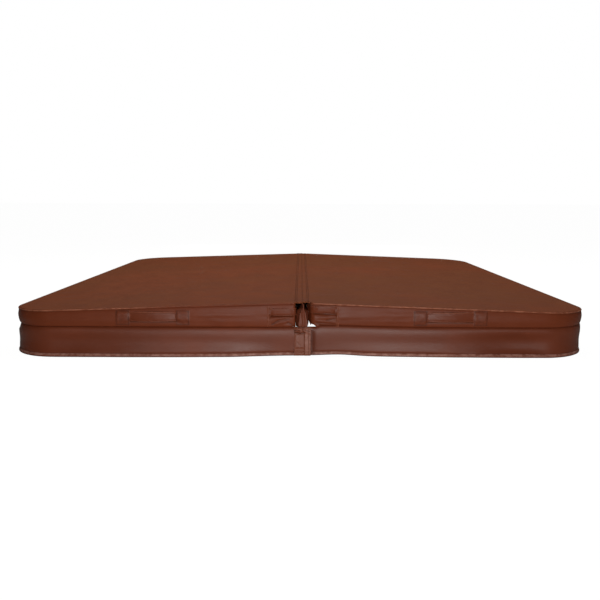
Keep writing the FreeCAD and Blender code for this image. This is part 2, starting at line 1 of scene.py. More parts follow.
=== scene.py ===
"""The look of a bi-fold spa cover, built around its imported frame.

Two foam halves in sewn marine vinyl jackets meet at a fabric hinge. A skirt hangs round the rim, a padded
heat seal fills the fold, and each half has carrying handles, a fold handle at either end, tie-down straps
and a zip. Everything is in metres in the frame's own axes: X runs across the halves, Y along the fold and
Z up, and the front is at -Y.
"""

import logging
import math
from dataclasses import dataclass, field
from enum import Enum
from typing import Sequence

import bmesh
import bpy
import numpy as np
from mathutils import Matrix, Vector, noise


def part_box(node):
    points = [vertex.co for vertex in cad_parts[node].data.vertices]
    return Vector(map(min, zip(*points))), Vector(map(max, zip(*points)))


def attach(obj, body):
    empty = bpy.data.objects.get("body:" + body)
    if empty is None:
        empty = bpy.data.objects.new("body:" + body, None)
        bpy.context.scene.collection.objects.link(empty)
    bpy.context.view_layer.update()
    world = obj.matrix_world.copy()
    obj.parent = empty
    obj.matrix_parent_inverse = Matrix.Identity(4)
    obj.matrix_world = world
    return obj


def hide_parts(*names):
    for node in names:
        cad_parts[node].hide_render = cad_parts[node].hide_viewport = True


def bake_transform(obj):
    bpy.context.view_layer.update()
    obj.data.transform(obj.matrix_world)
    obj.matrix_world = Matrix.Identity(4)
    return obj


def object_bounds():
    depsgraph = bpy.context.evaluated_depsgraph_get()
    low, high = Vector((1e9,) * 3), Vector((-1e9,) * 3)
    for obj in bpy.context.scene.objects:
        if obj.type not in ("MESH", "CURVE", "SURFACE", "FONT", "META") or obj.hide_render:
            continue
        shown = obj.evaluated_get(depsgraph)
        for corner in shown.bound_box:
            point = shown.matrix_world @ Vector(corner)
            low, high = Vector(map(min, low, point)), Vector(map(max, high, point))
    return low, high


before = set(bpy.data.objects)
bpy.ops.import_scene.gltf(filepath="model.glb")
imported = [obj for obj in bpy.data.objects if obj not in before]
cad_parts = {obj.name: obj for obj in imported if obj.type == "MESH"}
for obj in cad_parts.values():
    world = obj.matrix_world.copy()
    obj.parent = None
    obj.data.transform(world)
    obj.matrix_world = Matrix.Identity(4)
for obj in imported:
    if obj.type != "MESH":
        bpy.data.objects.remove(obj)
CAD_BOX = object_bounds()

MM = 0.001
LOG = logging.getLogger("spa_cover")

Array = np.ndarray
Pair = tuple[Array, Array]
Colour = tuple[float, float, float, float]
Range = tuple[float, float]
Place = tuple[float, float, float]
Material = bpy.types.Material
Piece = bpy.types.Object
Socket = bpy.types.NodeSocket


class Side(Enum):
    """The two halves of the cover."""

    LEFT = -1.0
    RIGHT = 1.0

    @property
    def label(self) -> str:
        """The half's name as the frame spells it."""
        return self.name.lower()

    @property
    def body(self) -> str:
        """The frame body that the half's pieces ride on."""
        return f"{self.label}_half"


class End(Enum):
    """The two ends of the fold."""

    FRONT = -1.0
    BACK = 1.0

    @property
    def label(self) -> str:
        """The end's name as the frame spells it."""
        return self.name.lower()


# ---------------------------------------------------------------------------------------------------------
# Shape helpers


def soft_step(low: float, high: float, value: Array) -> Array:
    """Rises smoothly from 0 at low to 1 at high.

    Args:
        low: The value at which the step starts.
        high: The value at which it is complete.
        value: The values to look up.

    Returns:
        The step's height at each value.
    """
    share = np.clip((np.asarray(value, float) - low) / (high - low), 0.0, 1.0)
    return share * share * (3.0 - 2.0 * share)


def hump(value: Array, middle: float, width: float) -> Array:
    """A smooth hump, 1 at its middle, that falls away over its width to either side."""
    return np.exp(-(((value - middle) / width) ** 2))


def grid_of(x: Array, y: Array | float, z: Array | float) -> Array:
    """Points whose coordinates are spread over one grid."""
    return np.stack(np.broadcast_arrays(x, y, z), axis=-1)


def border_distance(x: Array, z: Array) -> Array:
    """How far each point of a grid with these columns and rows lies inside the grid's border."""
    return np.minimum(np.minimum(x - x[0], x[-1] - x)[:, None], np.minimum(z - z[0], z[-1] - z)[None, :])


def lumps(points: Array, size: Sequence[float], seed: float) -> Array:
    """Smooth unevenness of a soft surface, from -1 to 1.

    Args:
        points: Places in metres, one row each.
        size: The length of a lump along X, Y and Z, in metres.
        seed: Picks the pattern.

    Returns:
        One value for each point.
    """
    flat = np.asarray(points, float).reshape(-1, 3) / np.asarray(size, float) + seed
    found = np.array([noise.noise(Vector(row)) for row in flat])
    return found.reshape(np.asarray(points).shape[:-1])


def path_lengths(path: Array) -> Array:
    """Distance along a path at each of its points."""
    steps = np.linalg.norm(np.diff(path, axis=0), axis=1)
    return np.concatenate([[0.0], np.cumsum(steps)])


def walk(path: Array, distances: Array) -> Array:
    """Points of a path at given distances from its start.

    Args:
        path: The path's points, one row each.
        distances: Distances from the start, in metres.

    Returns:
        One interpolated row for each distance.
    """
    lengths = path_lengths(path[:, :3])
    return np.stack([np.interp(distances, lengths, path[:, c]) for c in range(path.shape[1])], axis=1)


def stepped(corners: Sequence[Sequence[float]], step: float) -> Array:
    """Points at even steps along straight runs between corners."""
    line = np.array(corners)
    return walk(line, np.arange(0.0, path_lengths(line)[-1], step))


def unit(vectors: Array) -> Array:
    """The same directions at length 1."""
    lengths = np.linalg.norm(vectors, axis=-1, keepdims=True)
    return vectors / np.maximum(lengths, 1e-12)


def growing(fine: float, coarse: float, run: float = 0.0) -> list[float]:
    """Places from a border inwards, in fine steps that grow after a run.

    Args:
        fine: The first step in metres.
        coarse: The largest step in metres.
        run: How far the fine steps go before they grow, in metres.

    Returns:
        Distances from the border, in metres.
    """
    places = [0.0]
    while places[-1] < run:
        places.append(places[-1] + fine)
    step = fine
    while step < coarse:
        places.append(places[-1] + step)
        step *= 1.4
    return places


def graded(length: float, fine: float, coarse: float, run: float = 0.0) -> Array:
    """Fractions of a length, close together at both ends and even in the middle.

    Args:
        length: The whole length in metres.
        fine: The first step in metres.
        coarse: The largest step in metres.
        run: How far the fine steps go on at the start, in metres.

    Returns:
        Fractions from 0 to 1.
    """
    start, finish = growing(fine, coarse, run), growing(fine, coarse)
    count = max(1, round((length - start[-1] - finish[-1]) / coarse))
    middle = np.linspace(start[-1], length - finish[-1], count + 1)[1:-1]
    whole = np.concatenate([start, middle, length - np.array(finish[::-1])])
    return whole / length


class Sketch:
    """Points and faces of one piece, gathered before they become a mesh."""

    def __init__(self, name: str) -> None:
        """Starts an empty piece of that name.

        Args:
            name: The piece's name.
        """
        self.name = name
        self._points: list[Array] = []
        self._wear: list[Array] = []
        self._soil: list[Array] = []
        self._faces: list[list[int]] = []
        self._finishes: list[int] = []
        self._count = 0

    def add(
        self, points: Array, wear: float | Array = 0.0, soil: float | Array = 0.0
    ) -> Array:
        """Adds points.

        Args:
            points: Places in metres, in any layout whose last axis is x, y, z.
            wear: Scuffing there, and painted highlight on edges and welts, from 0 to 1.
            soil: Grime settled there, and painted shade in creases and recesses, from 0 to 1.

        Returns:
            The points' numbers, in the same layout.
        """
        points = np.asarray(points, float)
        layout = points.shape[:-1]
        flat = points.reshape(-1, 3)
        self._points.append(flat)
        for store, value in ((self._wear, wear), (self._soil, soil)):
            store.append(np.broadcast_to(np.asarray(value, float), layout).reshape(-1))
        numbers = np.arange(self._count, self._count + len(flat)).reshape(layout)
        self._count += len(flat)
        return numbers

    def skin(
        self, rows: Sequence[Array], closed: bool = False, looped: bool = False, finish: int = 0
    ) -> None:
        """Adds quads between neighbouring rows of points.

        Args:
            rows: Rows of point numbers, all of one length.
            closed: Whether each row runs round to its own start.
            looped: Whether the last row joins the first.
            finish: Which of the piece's materials the quads take.
        """
        table = np.array(rows)
        if looped:
            table = np.concatenate([table, table[:1]])
        if closed:
            table = np.concatenate([table, table[:, :1]], axis=1)
        corners = (table[:-1, :-1], table[:-1, 1:], table[1:, 1:], table[1:, :-1])
        quads = np.stack(corners, axis=-1).reshape(-1, 4)
        self._faces.extend(quads.tolist())
        self._finishes.extend([finish] * len(quads))

    def cap(self, ring: Array, finish: int = 0) -> None:
        """Closes a ring of points with one face."""
        self._faces.append([int(number) for number in ring])
        self._finishes.append(finish)

    def fan(self, ring: Array, tip: int, finish: int = 0) -> None:
        """Closes a ring of points with triangles to one tip."""
        for first, second in zip(ring, np.roll(ring, -1)):
            self._faces.append([int(first), int(second), int(tip)])
            self._finishes.append(finish)

    def slab(self, upper: Array, lower: Array) -> None:
        """Closes a sheet of some thickness.

        Args:
            upper: The grid of point numbers of one face.
            lower: The grid of the other face.
        """
        self.skin(upper)
        self.skin(lower)
        self.skin([grid_ring(upper), grid_ring(lower)], closed=True)

    def tube(self, rows: Array) -> None:
        """Closes a section that is swept along a line.

        Args:
            rows: The section's point numbers at each step of the line.
        """
        self.skin(rows, closed=True)
        self.cap(rows[0])
        self.cap(rows[-1][::-1])

    def make(self, materials: Sequence[Material], crease: float = 50.0) -> Piece:
        """Makes the piece's object, with its faces turned outwards.

        Args:
            materials: The piece's materials, in the order that its faces name them.
            crease: Edges sharper than this many degrees are shaded as sharp.

        Returns:
            The new object, linked to the scene.
        """
        mesh = bpy.data.meshes.new(self.name)
        mesh.from_pydata(np.concatenate(self._points).tolist(), [], self._faces)
        mesh.polygons.foreach_set("material_index", self._finishes)
        # The first value paints highlights on edges along with scuffing, the second paints shade in creases
        # along with grime
        for label, store in (("wear", self._wear), ("soil", self._soil)):
            layer = mesh.attributes.new(label, "FLOAT", "POINT")
            layer.data.foreach_set("value", np.concatenate(store).astype(np.float32))
        solid = bmesh.new()
        solid.from_mesh(mesh)
        bmesh.ops.recalc_face_normals(solid, faces=solid.faces)
        solid.to_mesh(mesh)
        solid.free()
        for material in materials:
            mesh.materials.append(material)
        mesh.shade_smooth()
        mesh.set_sharp_from_angle(angle=math.radians(crease))
        made = bpy.data.objects.new(self.name, mesh)
        bpy.context.scene.collection.objects.link(made)
        return made


def ride(
    piece: Piece,
    body: str | tuple[str, str],
    replaces: Sequence[str] = (),
    bend: tuple[Place, Place] | None = None,
) -> None:
    """Seats a finished piece on its frame body, or bakes its place into its mesh when it lies across the
    joint between two bodies.

    Args:
        piece: The piece.
        body: The frame body that it moves with, or the two that a joint holds together.
        replaces: Frame nodes that it stands for.
        bend: Where the bend between two bodies starts and where it ends; only whether it is given is used.
    """
    if bend:
        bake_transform(piece)
    else:
        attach(piece, body)
    if replaces:
        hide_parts(*replaces)
    LOG.info("%s rides on %s, %d faces", piece.name, body, len(piece.data.polygons))


# ---------------------------------------------------------------------------------------------------------
# Finishes


class Graph:
    """A node tree while it is put together."""

    def __init__(self, tree: bpy.types.NodeTree) -> None:
        """Takes up a tree."""
        self.tree = tree

    def node(self, kind: str, **settings: object) -> bpy.types.Node:
        """Adds a node and sets its own properties.

        Args:
            kind: The node's type.
            settings: Its own properties and their values.

        Returns:
            The node.
        """
        made = self.tree.nodes.new(kind)
        for label, value in settings.items():
            setattr(made, label, value)
        return made

    def put(self, value: object, socket: Socket) -> None:
        """Links a socket to an input, or sets the input's own value."""
        if isinstance(value, Socket):
            self.tree.links.new(value, socket)
        else:
            socket.default_value = value

    def feed(self, node: bpy.types.Node, **inputs: object) -> bpy.types.Node:
        """Links sockets to, or sets numbers on, a node's inputs.

        Args:
            node: The node to feed.
            inputs: Values by input name, with spaces written as underscores.

        Returns:
            The same node.
        """
        for label, value in inputs.items():
            self.put(value, node.inputs[label.replace("_", " ")])
        return node

    def span(
        self, value: Socket, low: float, high: float, to_low: float, to_high: float
    ) -> Socket:
        """Maps the range low to high onto the range to_low to to_high.

        Args:
            value: The number to map.
            low: Where the range it comes in starts.
            high: Where that range ends.
            to_low: Where the range it goes out in starts.
            to_high: Where that range ends.

        Returns:
            The mapped number.
        """
        made = self.node("ShaderNodeMapRange")
        self.feed(made, Value=value, From_Min=low, From_Max=high, To_Min=to_low, To_Max=to_high)
        return made.outputs["Result"]

    def sum(self, first: object, second: object, kind: str = "ADD") -> Socket:
        """Joins two numbers with a sum, or another operation of the math node.

        Args:
            first: A number or a socket.
            second: Another.
            kind: The math node's operation.

        Returns:
            The result.
        """
        made = self.node("ShaderNodeMath", operation=kind)
        for value, socket in zip((first, second), made.inputs):
            self.put(value, socket)
        return made.outputs["Value"]

    def show(self, share: Socket, first: bpy.types.Node, second: bpy.types.Node, end: str) -> None:
        """Mixes two shaders by a share and shows the result.

        Args:
            share: How much the second one counts.
            first: The shader that shows at a share of 0.
            second: The shader that shows at a share of 1.
            end: The name of the tree's output node.
        """
        mix = self.node("ShaderNodeMixShader")
        for value, socket in zip((share, first.outputs[0], second.outputs[0]), mix.inputs):
            self.put(value, socket)
        self.feed(self.tree.nodes[end], Surface=mix.outputs[0])


class Recipe(Graph):
    """A material's node tree while it is put together."""

    def __init__(self, name: str) -> None:
        """Starts a material with one plain shader.

        Args:
            name: The material's name.
        """
        self.material = bpy.data.materials.new(name)
        self.material.use_nodes = True
        super().__init__(self.material.node_tree)
        self.shader = self.tree.nodes["Principled BSDF"]
        self.place = self.node("ShaderNodeTexCoord").outputs["Object"]

    def shade(self, **inputs: object) -> None:
        """Feeds the material's shader."""
        self.feed(self.shader, **inputs)

    def noise(self, scale: float, detail: float = 2.0) -> Socket:
        """Cloudy variation of so many lumps to a metre, about 0.3 to 0.7.

        Args:
            scale: How many lumps there are to a metre.
            detail: How fine the variation goes.

        Returns:
            The variation.
        """
        made = self.node("ShaderNodeTexNoise")
        self.feed(made, Vector=self.place, Scale=scale, Detail=detail)
        return made.outputs["Fac"]

    def cells(self, scale: float, smooth: float = 0.0) -> Socket:
        """Distance from the middle of each cell of an irregular pattern of so many cells to a metre.

        Args:
            scale: How many cells there are to a metre.
            smooth: How softly the cells meet.

        Returns:
            The distance.
        """
        feature = "SMOOTH_F1" if smooth else "F1"
        made = self.node("ShaderNodeTexVoronoi", feature=feature)
        self.feed(made, Vector=self.place, Scale=scale)
        if smooth:
            self.feed(made, Smoothness=smooth)
        return made.outputs["Distance"]

    def waves(self, scale: float, axis: str) -> Socket:
        """Even bands across one axis.

        Args:
            scale: How close together the bands lie.
            axis: The axis that they cross.

        Returns:
            The height of the bands.
        """
        made = self.node("ShaderNodeTexWave", wave_type="BANDS", bands_direction=axis, wave_profile="SIN")
        self.feed(made, Vector=self.place, Scale=scale)
        return made.outputs["Fac"]

    def blend(self, share: object, first: object, second: object) -> Socket:
        """Mixes two colours by a share from 0 to 1.

        Args:
            share: The share of the second colour.
            first: The first colour.
            second: The second colour.

        Returns:
            The mixed colour.
        """
        made = self.node("ShaderNodeMix", data_type="RGBA")
        for value, index in zip((share, first, second), (0, 6, 7)):
            self.put(value, made.inputs[index])
        return made.outputs[2]

    def layer(self, label: str) -> Socket:
        """One of the values kept on the mesh's points: scuffing with painted highlight, or grime with painted
        shade.
        """
        made = self.node("ShaderNodeAttribute", attribute_name=label)
        return made.outputs["Fac"]

    def bump(self, height: Socket, depth: float) -> Socket:
        """Turns a height into a relief.

        Args:
            height: The height, from 0 to 1.
            depth: The relief's depth in metres.

        Returns:
            The relief for a shader's normal.
        """
        made = self.node("ShaderNodeBump")
        self.feed(made, Height=height, Strength=1.0, Distance=depth)
        return made.outputs["Normal"]


def tone(red: int, green: int, blue: int) -> Colour:
    """A colour from its screen values, as the shader wants it."""

    def linear(value: int) -> float:
        """One channel without the screen's curve."""
        share = value / 255.0
        return share / 12.92 if share <= 0.04045 else ((share + 0.055) / 1.055) ** 2.4

    return (linear(red), linear(green), linear(blue), 1.0)


# Most values of a cloudy variation lie between these
CLOUDY: Range = (0.3, 0.7)


class Finish:
    """What all finishes share: each makes one material of its own name."""

    name: str

    def mix(self, recipe: Recipe) -> None:
        """Lays out the finish."""
        raise NotImplementedError

    def material(self) -> Material:
        """Builds the material.

        Returns:
            The finished material.
        """
        recipe = Recipe(self.name)
        self.mix(recipe)
        return recipe.material


@dataclass(frozen=True)
class MarineVinyl(Finish):
    """Grained, vacuum-formed vinyl with a faint change of hue across the roll, painted highlight with
    scuffing on its edges and painted shade with grime in its creases.
    """

    name: str
    warm: Colour
    cool: Colour
    # Pale tone of marked edges: painted highlight where edges and welts catch the light, with scuffing
    rubbed_sheen: Colour = tone(152, 92, 68)
    grain_tone: Colour = tone(152, 92, 68)
    grain_share: float = 0.16
    # Near-black tone of marked creases: painted shade in creases, seams and recesses, with grime
    grimy_shade: Colour = tone(36, 16, 9)
    specular: float = 0.12
    roughness: float = 0.5
    grain: float = 0.16 * MM
    grain_scale: float = 620.0
    mottle: float = 0.10
    cloud_scale: float = 11.0
    drift_scale: float = 1.7
    fine_scale: float = 2600.0
    fine_share: float = 0.35
    scuff_scale: float = 60.0
    wear_share: float = 0.55
    dirt_share: float = 0.8

    def mix(self, recipe: Recipe) -> None:
        """Lays out the finish.

        Args:
            recipe: The material's nodes.
        """
        drift = recipe.noise(self.drift_scale, detail=1.5)
        roll = recipe.blend(recipe.span(drift, 0.36, 0.64, 0.0, 1.0), self.warm, self.cool)
        cloud = recipe.noise(self.cloud_scale, detail=4.0)
        darker = tuple(channel * (1.0 - 2.2 * self.mottle) for channel in self.warm[:3]) + (1.0,)
        body = recipe.blend(recipe.span(cloud, 0.35, 0.72, 0.55, 0.0), roll, darker)
        pores = recipe.cells(self.grain_scale, smooth=0.35)
        fine = recipe.noise(self.fine_scale, detail=2.0)
        grained = recipe.blend(recipe.span(pores, 0.25, 0.75, 0.0, self.grain_share), body, self.grain_tone)
        scuff = recipe.noise(self.scuff_scale, detail=5.0)
        # Painted highlight with scuffing: marked edges are lightened towards the pale tone
        rubbing_and_sheen = recipe.sum(recipe.layer("wear"), recipe.span(scuff, 0.35, 0.62, 0.25, 1.0), "MULTIPLY")
        worn_and_sheen = recipe.blend(recipe.sum(rubbing_and_sheen, self.wear_share, "MULTIPLY"), grained, self.rubbed_sheen)
        # Painted shade with grime: marked creases and recesses are darkened towards the near-black tone
        dirt_and_shade = recipe.sum(recipe.layer("soil"), recipe.span(scuff, *CLOUDY, 0.6, 1.0), "MULTIPLY")
        colour = recipe.blend(recipe.sum(dirt_and_shade, self.dirt_share, "MULTIPLY"), worn_and_sheen, self.grimy_shade)
        matt = recipe.span(cloud, *CLOUDY, self.roughness - 0.05, self.roughness + 0.07)
        grains = recipe.sum(fine, self.fine_share, "MULTIPLY")
        relief = recipe.bump(recipe.sum(pores, grains), self.grain)
        recipe.shade(Base_Color=colour, Roughness=matt, Normal=relief)
        recipe.shade(Specular_IOR_Level=self.specular)


@dataclass(frozen=True)
class Thread(Finish):
    """Bonded polyester sewing thread, twisted and a little glossy."""

    name: str = "sewing_thread"
    colour: Colour = tone(80, 36, 22)
    dusty: Colour = tone(106, 58, 40)
    age_scale: float = 14.0
    twist_scale: float = 1900.0
    relief: float = 0.12 * MM

    def mix(self, recipe: Recipe) -> None:
        """Lays out the finish.

        Args:
            recipe: The material's nodes.
        """
        age = recipe.noise(self.age_scale, detail=3.0)
        twist = recipe.noise(self.twist_scale, detail=1.0)
        colour = recipe.blend(recipe.span(age, *CLOUDY, 0.0, 0.5), self.colour, self.dusty)
        recipe.shade(Base_Color=colour, Roughness=recipe.span(age, *CLOUDY, 0.45, 0.62))
        recipe.shade(Normal=recipe.bump(twist, self.relief), Specular_IOR_Level=0.1)


@dataclass(frozen=True)
class Webbing(Finish):
    """Flat polypropylene webbing with a plain weave."""

    name: str = "tie_webbing"
    colour: Colour = tone(52, 34, 27)
    light: Colour = tone(92, 66, 54)
    picks: float = 210.0
    fuzz_scale: float = 900.0
    relief: float = 0.5 * MM

    def mix(self, recipe: Recipe) -> None:
        """Lays out the finish.

        Args:
            recipe: The material's nodes.
        """
        across = recipe.waves(self.picks, "Y")
        along = recipe.waves(self.picks, "Z")
        weave = recipe.sum(across, along, "MULTIPLY")
        fuzz = recipe.noise(self.fuzz_scale, detail=3.0)
        shade = recipe.sum(recipe.span(weave, 0.0, 1.0, 0.0, 0.6), recipe.sum(fuzz, 0.3, "MULTIPLY"))
        colour = recipe.blend(shade, self.colour, self.light)
        recipe.shade(Base_Color=colour, Normal=recipe.bump(weave, self.relief))
        recipe.shade(Roughness=recipe.span(fuzz, *CLOUDY, 0.6, 0.85))
        recipe.shade(Specular_IOR_Level=0.3)


@dataclass(frozen=True)
class MouldedPlastic(Finish):
    """Injection-moulded plastic with a fine spark-eroded texture."""

    name: str
    colour: Colour
    chalked: Colour
    roughness: float = 0.42
    cloud_scale: float = 70.0
    spark_scale: float = 3200.0
    relief: float = 0.05 * MM

    def mix(self, recipe: Recipe) -> None:
        """Lays out the finish.

        Args:
            recipe: The material's nodes.
        """
        cloud = recipe.noise(self.cloud_scale, detail=4.0)
        spark = recipe.noise(self.spark_scale, detail=2.0)
        colour = recipe.blend(recipe.span(cloud, 0.35, 0.75, 0.0, 0.5), self.colour, self.chalked)
        matt = recipe.span(spark, *CLOUDY, self.roughness - 0.06, self.roughness + 0.12)
        recipe.shade(Base_Color=colour, Roughness=matt, Normal=recipe.bump(spark, self.relief))


@dataclass(frozen=True)
class SheetMetal(Finish):
    """Bare or plated metal with a soft brushed or spangled surface."""

    name: str
    colour: Colour
    dull: Colour
    roughness: float
    spangle: float
    cloud_share: float = 0.4
    relief: float = 0.06 * MM

    def mix(self, recipe: Recipe) -> None:
        """Lays out the finish.

        Args:
            recipe: The material's nodes.
        """
        crystals = recipe.cells(self.spangle)
        cloud = recipe.noise(self.spangle * self.cloud_share, detail=4.0)
        colour = recipe.blend(recipe.span(crystals, 0.1, 0.8, 0.0, 1.0), self.colour, self.dull)
        matt = recipe.span(cloud, *CLOUDY, self.roughness - 0.1, self.roughness + 0.12)
        relief = recipe.bump(cloud, self.relief)
        recipe.shade(Base_Color=colour, Roughness=matt, Normal=relief, Metallic=1.0)


@dataclass(frozen=True)
class PileTape(Finish):
    """Hook or loop tape: short stiff or fluffy pile on a woven ground."""

    name: str = "fastening_pile"
    colour: Colour = tone(44, 27, 20)
    tips: Colour = tone(96, 66, 52)
    tuft_scale: float = 950.0
    fuzz_scale: float = 2200.0
    relief: float = 0.5 * MM

    def mix(self, recipe: Recipe) -> None:
        """Lays out the finish.

        Args:
            recipe: The material's nodes.
        """
        tufts = recipe.cells(self.tuft_scale)
        fuzz = recipe.noise(self.fuzz_scale, detail=3.0)
        colour = recipe.blend(recipe.span(tufts, 0.1, 0.7, 0.8, 0.0), self.colour, self.tips)
        relief = recipe.bump(recipe.sum(tufts, fuzz), self.relief)
        recipe.shade(Base_Color=colour, Normal=relief, Specular_IOR_Level=0.2)
        recipe.shade(Roughness=recipe.span(fuzz, *CLOUDY, 0.75, 0.95))


@dataclass(frozen=True)
class CellFoam(Finish):
    """Closed-cell expanded foam, cut with a hot wire."""

    name: str = "expanded_foam"
    colour: Colour = tone(226, 226, 220)
    seam: Colour = tone(188, 188, 180)
    bead_scale: float = 260.0
    cloud_scale: float = 12.0
    relief: float = 0.4 * MM

    def mix(self, recipe: Recipe) -> None:
        """Lays out the finish.

        Args:
            recipe: The material's nodes.
        """
        beads = recipe.cells(self.bead_scale)
        cloud = recipe.noise(self.cloud_scale, detail=3.0)
        colour = recipe.blend(recipe.span(beads, 0.3, 0.8, 0.0, 0.8), self.colour, self.seam)
        recipe.shade(Base_Color=colour, Normal=recipe.bump(beads, self.relief))
        recipe.shade(Roughness=recipe.span(cloud, *CLOUDY, 0.75, 0.9))


# ---------------------------------------------------------------------------------------------------------
# Studio


@dataclass
class Studio:
    """Pale floor, soft lights and the camera."""

    eye: Place = (-0.0026, -3.876, 0.643)
    pitch: float = 8.66
    yaw: float = 0.08
    roll: float = 0.16
    lens: float = 40.69
    sensor: float = 36.0
    sight: float = 200.0
    floor_reach: float = 60.0
    floor_glow: float = 0.86
    floor_tint: Colour = (0.30, 0.29, 0.28, 1.0)
    wall_tint: Colour = (1.0, 0.985, 0.97, 1.0)
    room_light: Range = (0.05, 0.26)
    glossy_room: float = 0.16
    lamp_tint: Place = (1.0, 0.98, 0.955)

    def camera(self) -> None:
        """Stands the camera in front of the cover, a little above its top face."""
        data = bpy.data.cameras.new("studio_camera")
        data.lens = self.lens
        data.sensor_width = self.sensor
        data.clip_end = self.sight
        made = bpy.data.objects.new("studio_camera", data)
        bpy.context.scene.collection.objects.link(made)
        turn = Matrix.Rotation(math.radians(self.yaw), 4, "Z")
        tilt = Matrix.Rotation(math.radians(90.0 - self.pitch), 4, "X")
        lean = Matrix.Rotation(math.radians(self.roll), 4, "Z")
        made.matrix_world = Matrix.Translation(self.eye) @ turn @ tilt @ lean
        bpy.context.scene.camera = made

    def _seen_white(self, graph: Graph) -> Socket:
        """The switch that is 1 for rays that show the background itself."""
        path = graph.node("ShaderNodeLightPath").outputs
        return graph.sum(path["Is Camera Ray"], path["Is Transmission Ray"], "MAXIMUM")

    def room(self) -> None:
        """Lights the room evenly and shows its walls as white."""
        world = bpy.data.worlds.new("studio_room")
        world.use_nodes = True
        graph = Graph(world.node_tree)
        light = graph.tree.nodes["Background"]
        way = graph.node("ShaderNodeTexCoord").outputs["Generated"]
        split = graph.feed(graph.node("ShaderNodeSeparateXYZ"), Vector=way)
        spread = graph.span(split.outputs["X"], -1.0, 1.0, *self.room_light)
        glossy = graph.node("ShaderNodeLightPath").outputs["Is Glossy Ray"]
        shade = graph.span(glossy, 0.0, 1.0, 1.0, self.glossy_room)
        graph.feed(light, Color=self.wall_tint, Strength=graph.sum(spread, shade, "MULTIPLY"))
        wall = graph.feed(graph.node("ShaderNodeBackground"), Color=(1.0, 1.0, 1.0, 1.0))
        graph.show(self._seen_white(graph), light, wall, "World Output")
        bpy.context.scene.world = world

    def floor(self) -> None:
        """Lays a pale floor that reads as white and keeps the cover's shadow."""
        low = CAD_BOX[0].z - 0.4 * MM
        reach = self.floor_reach
        mesh = bpy.data.meshes.new("studio_floor")
        corners = [(-reach, -reach, low), (reach, -reach, low), (reach, reach, low), (-reach, reach, low)]
        mesh.from_pydata(corners, [], [(0, 1, 2, 3)])
        made = bpy.data.objects.new("studio_floor", mesh)
        bpy.context.scene.collection.objects.link(made)
        recipe = Recipe("pale_floor")
        recipe.shade(Base_Color=self.floor_tint, Roughness=0.9, Specular_IOR_Level=0.0)
        glow = recipe.feed(recipe.node("ShaderNodeEmission"), Strength=1.14)
        share = recipe.sum(self._seen_white(recipe), self.floor_glow, "MULTIPLY")
        recipe.show(share, recipe.shader, glow, "Material Output")
        mesh.materials.append(recipe.material)

    def lamp(
        self, name: str, place: Sequence[float], aim: Sequence[float], size: Sequence[float], power: float
    ) -> None:
        """Hangs one soft box.

        Args:
            name: The lamp's name.
            place: Where it hangs.
            aim: The point that it faces.
            size: Its width and height.
            power: Its power in watts.
        """
        data = bpy.data.lights.new(name, "AREA")
        data.shape = "RECTANGLE"
        data.size, data.size_y = size
        data.energy = power
        data.color = self.lamp_tint
        made = bpy.data.objects.new(name, data)
        bpy.context.scene.collection.objects.link(made)
        made.location = place
        made.rotation_euler = (Vector(aim) - Vector(place)).to_track_quat("-Z", "Y").to_euler()

    def build(self) -> None:
        """Sets the whole studio."""
        self.camera()
        self.room()
        self.floor()
        self.lamp("overhead_softbox", (0.0, 0.4, 3.5), (0.0, 0.1, 0.2), (4.6, 4.2), 146.0)
        self.lamp("front_softbox", (0.13, -3.5, 0.12), (0.13, -1.2, 0.07), (1.7, 0.22), 39.0)
        self.lamp("back_softbox", (0.0, 5.2, 0.12), (0.0, 1.2, 0.1), (3.0, 0.26), 16.0)
        bpy.context.scene.view_settings.view_transform = "Standard"


# ---------------------------------------------------------------------------------------------------------
# Outlines in plan


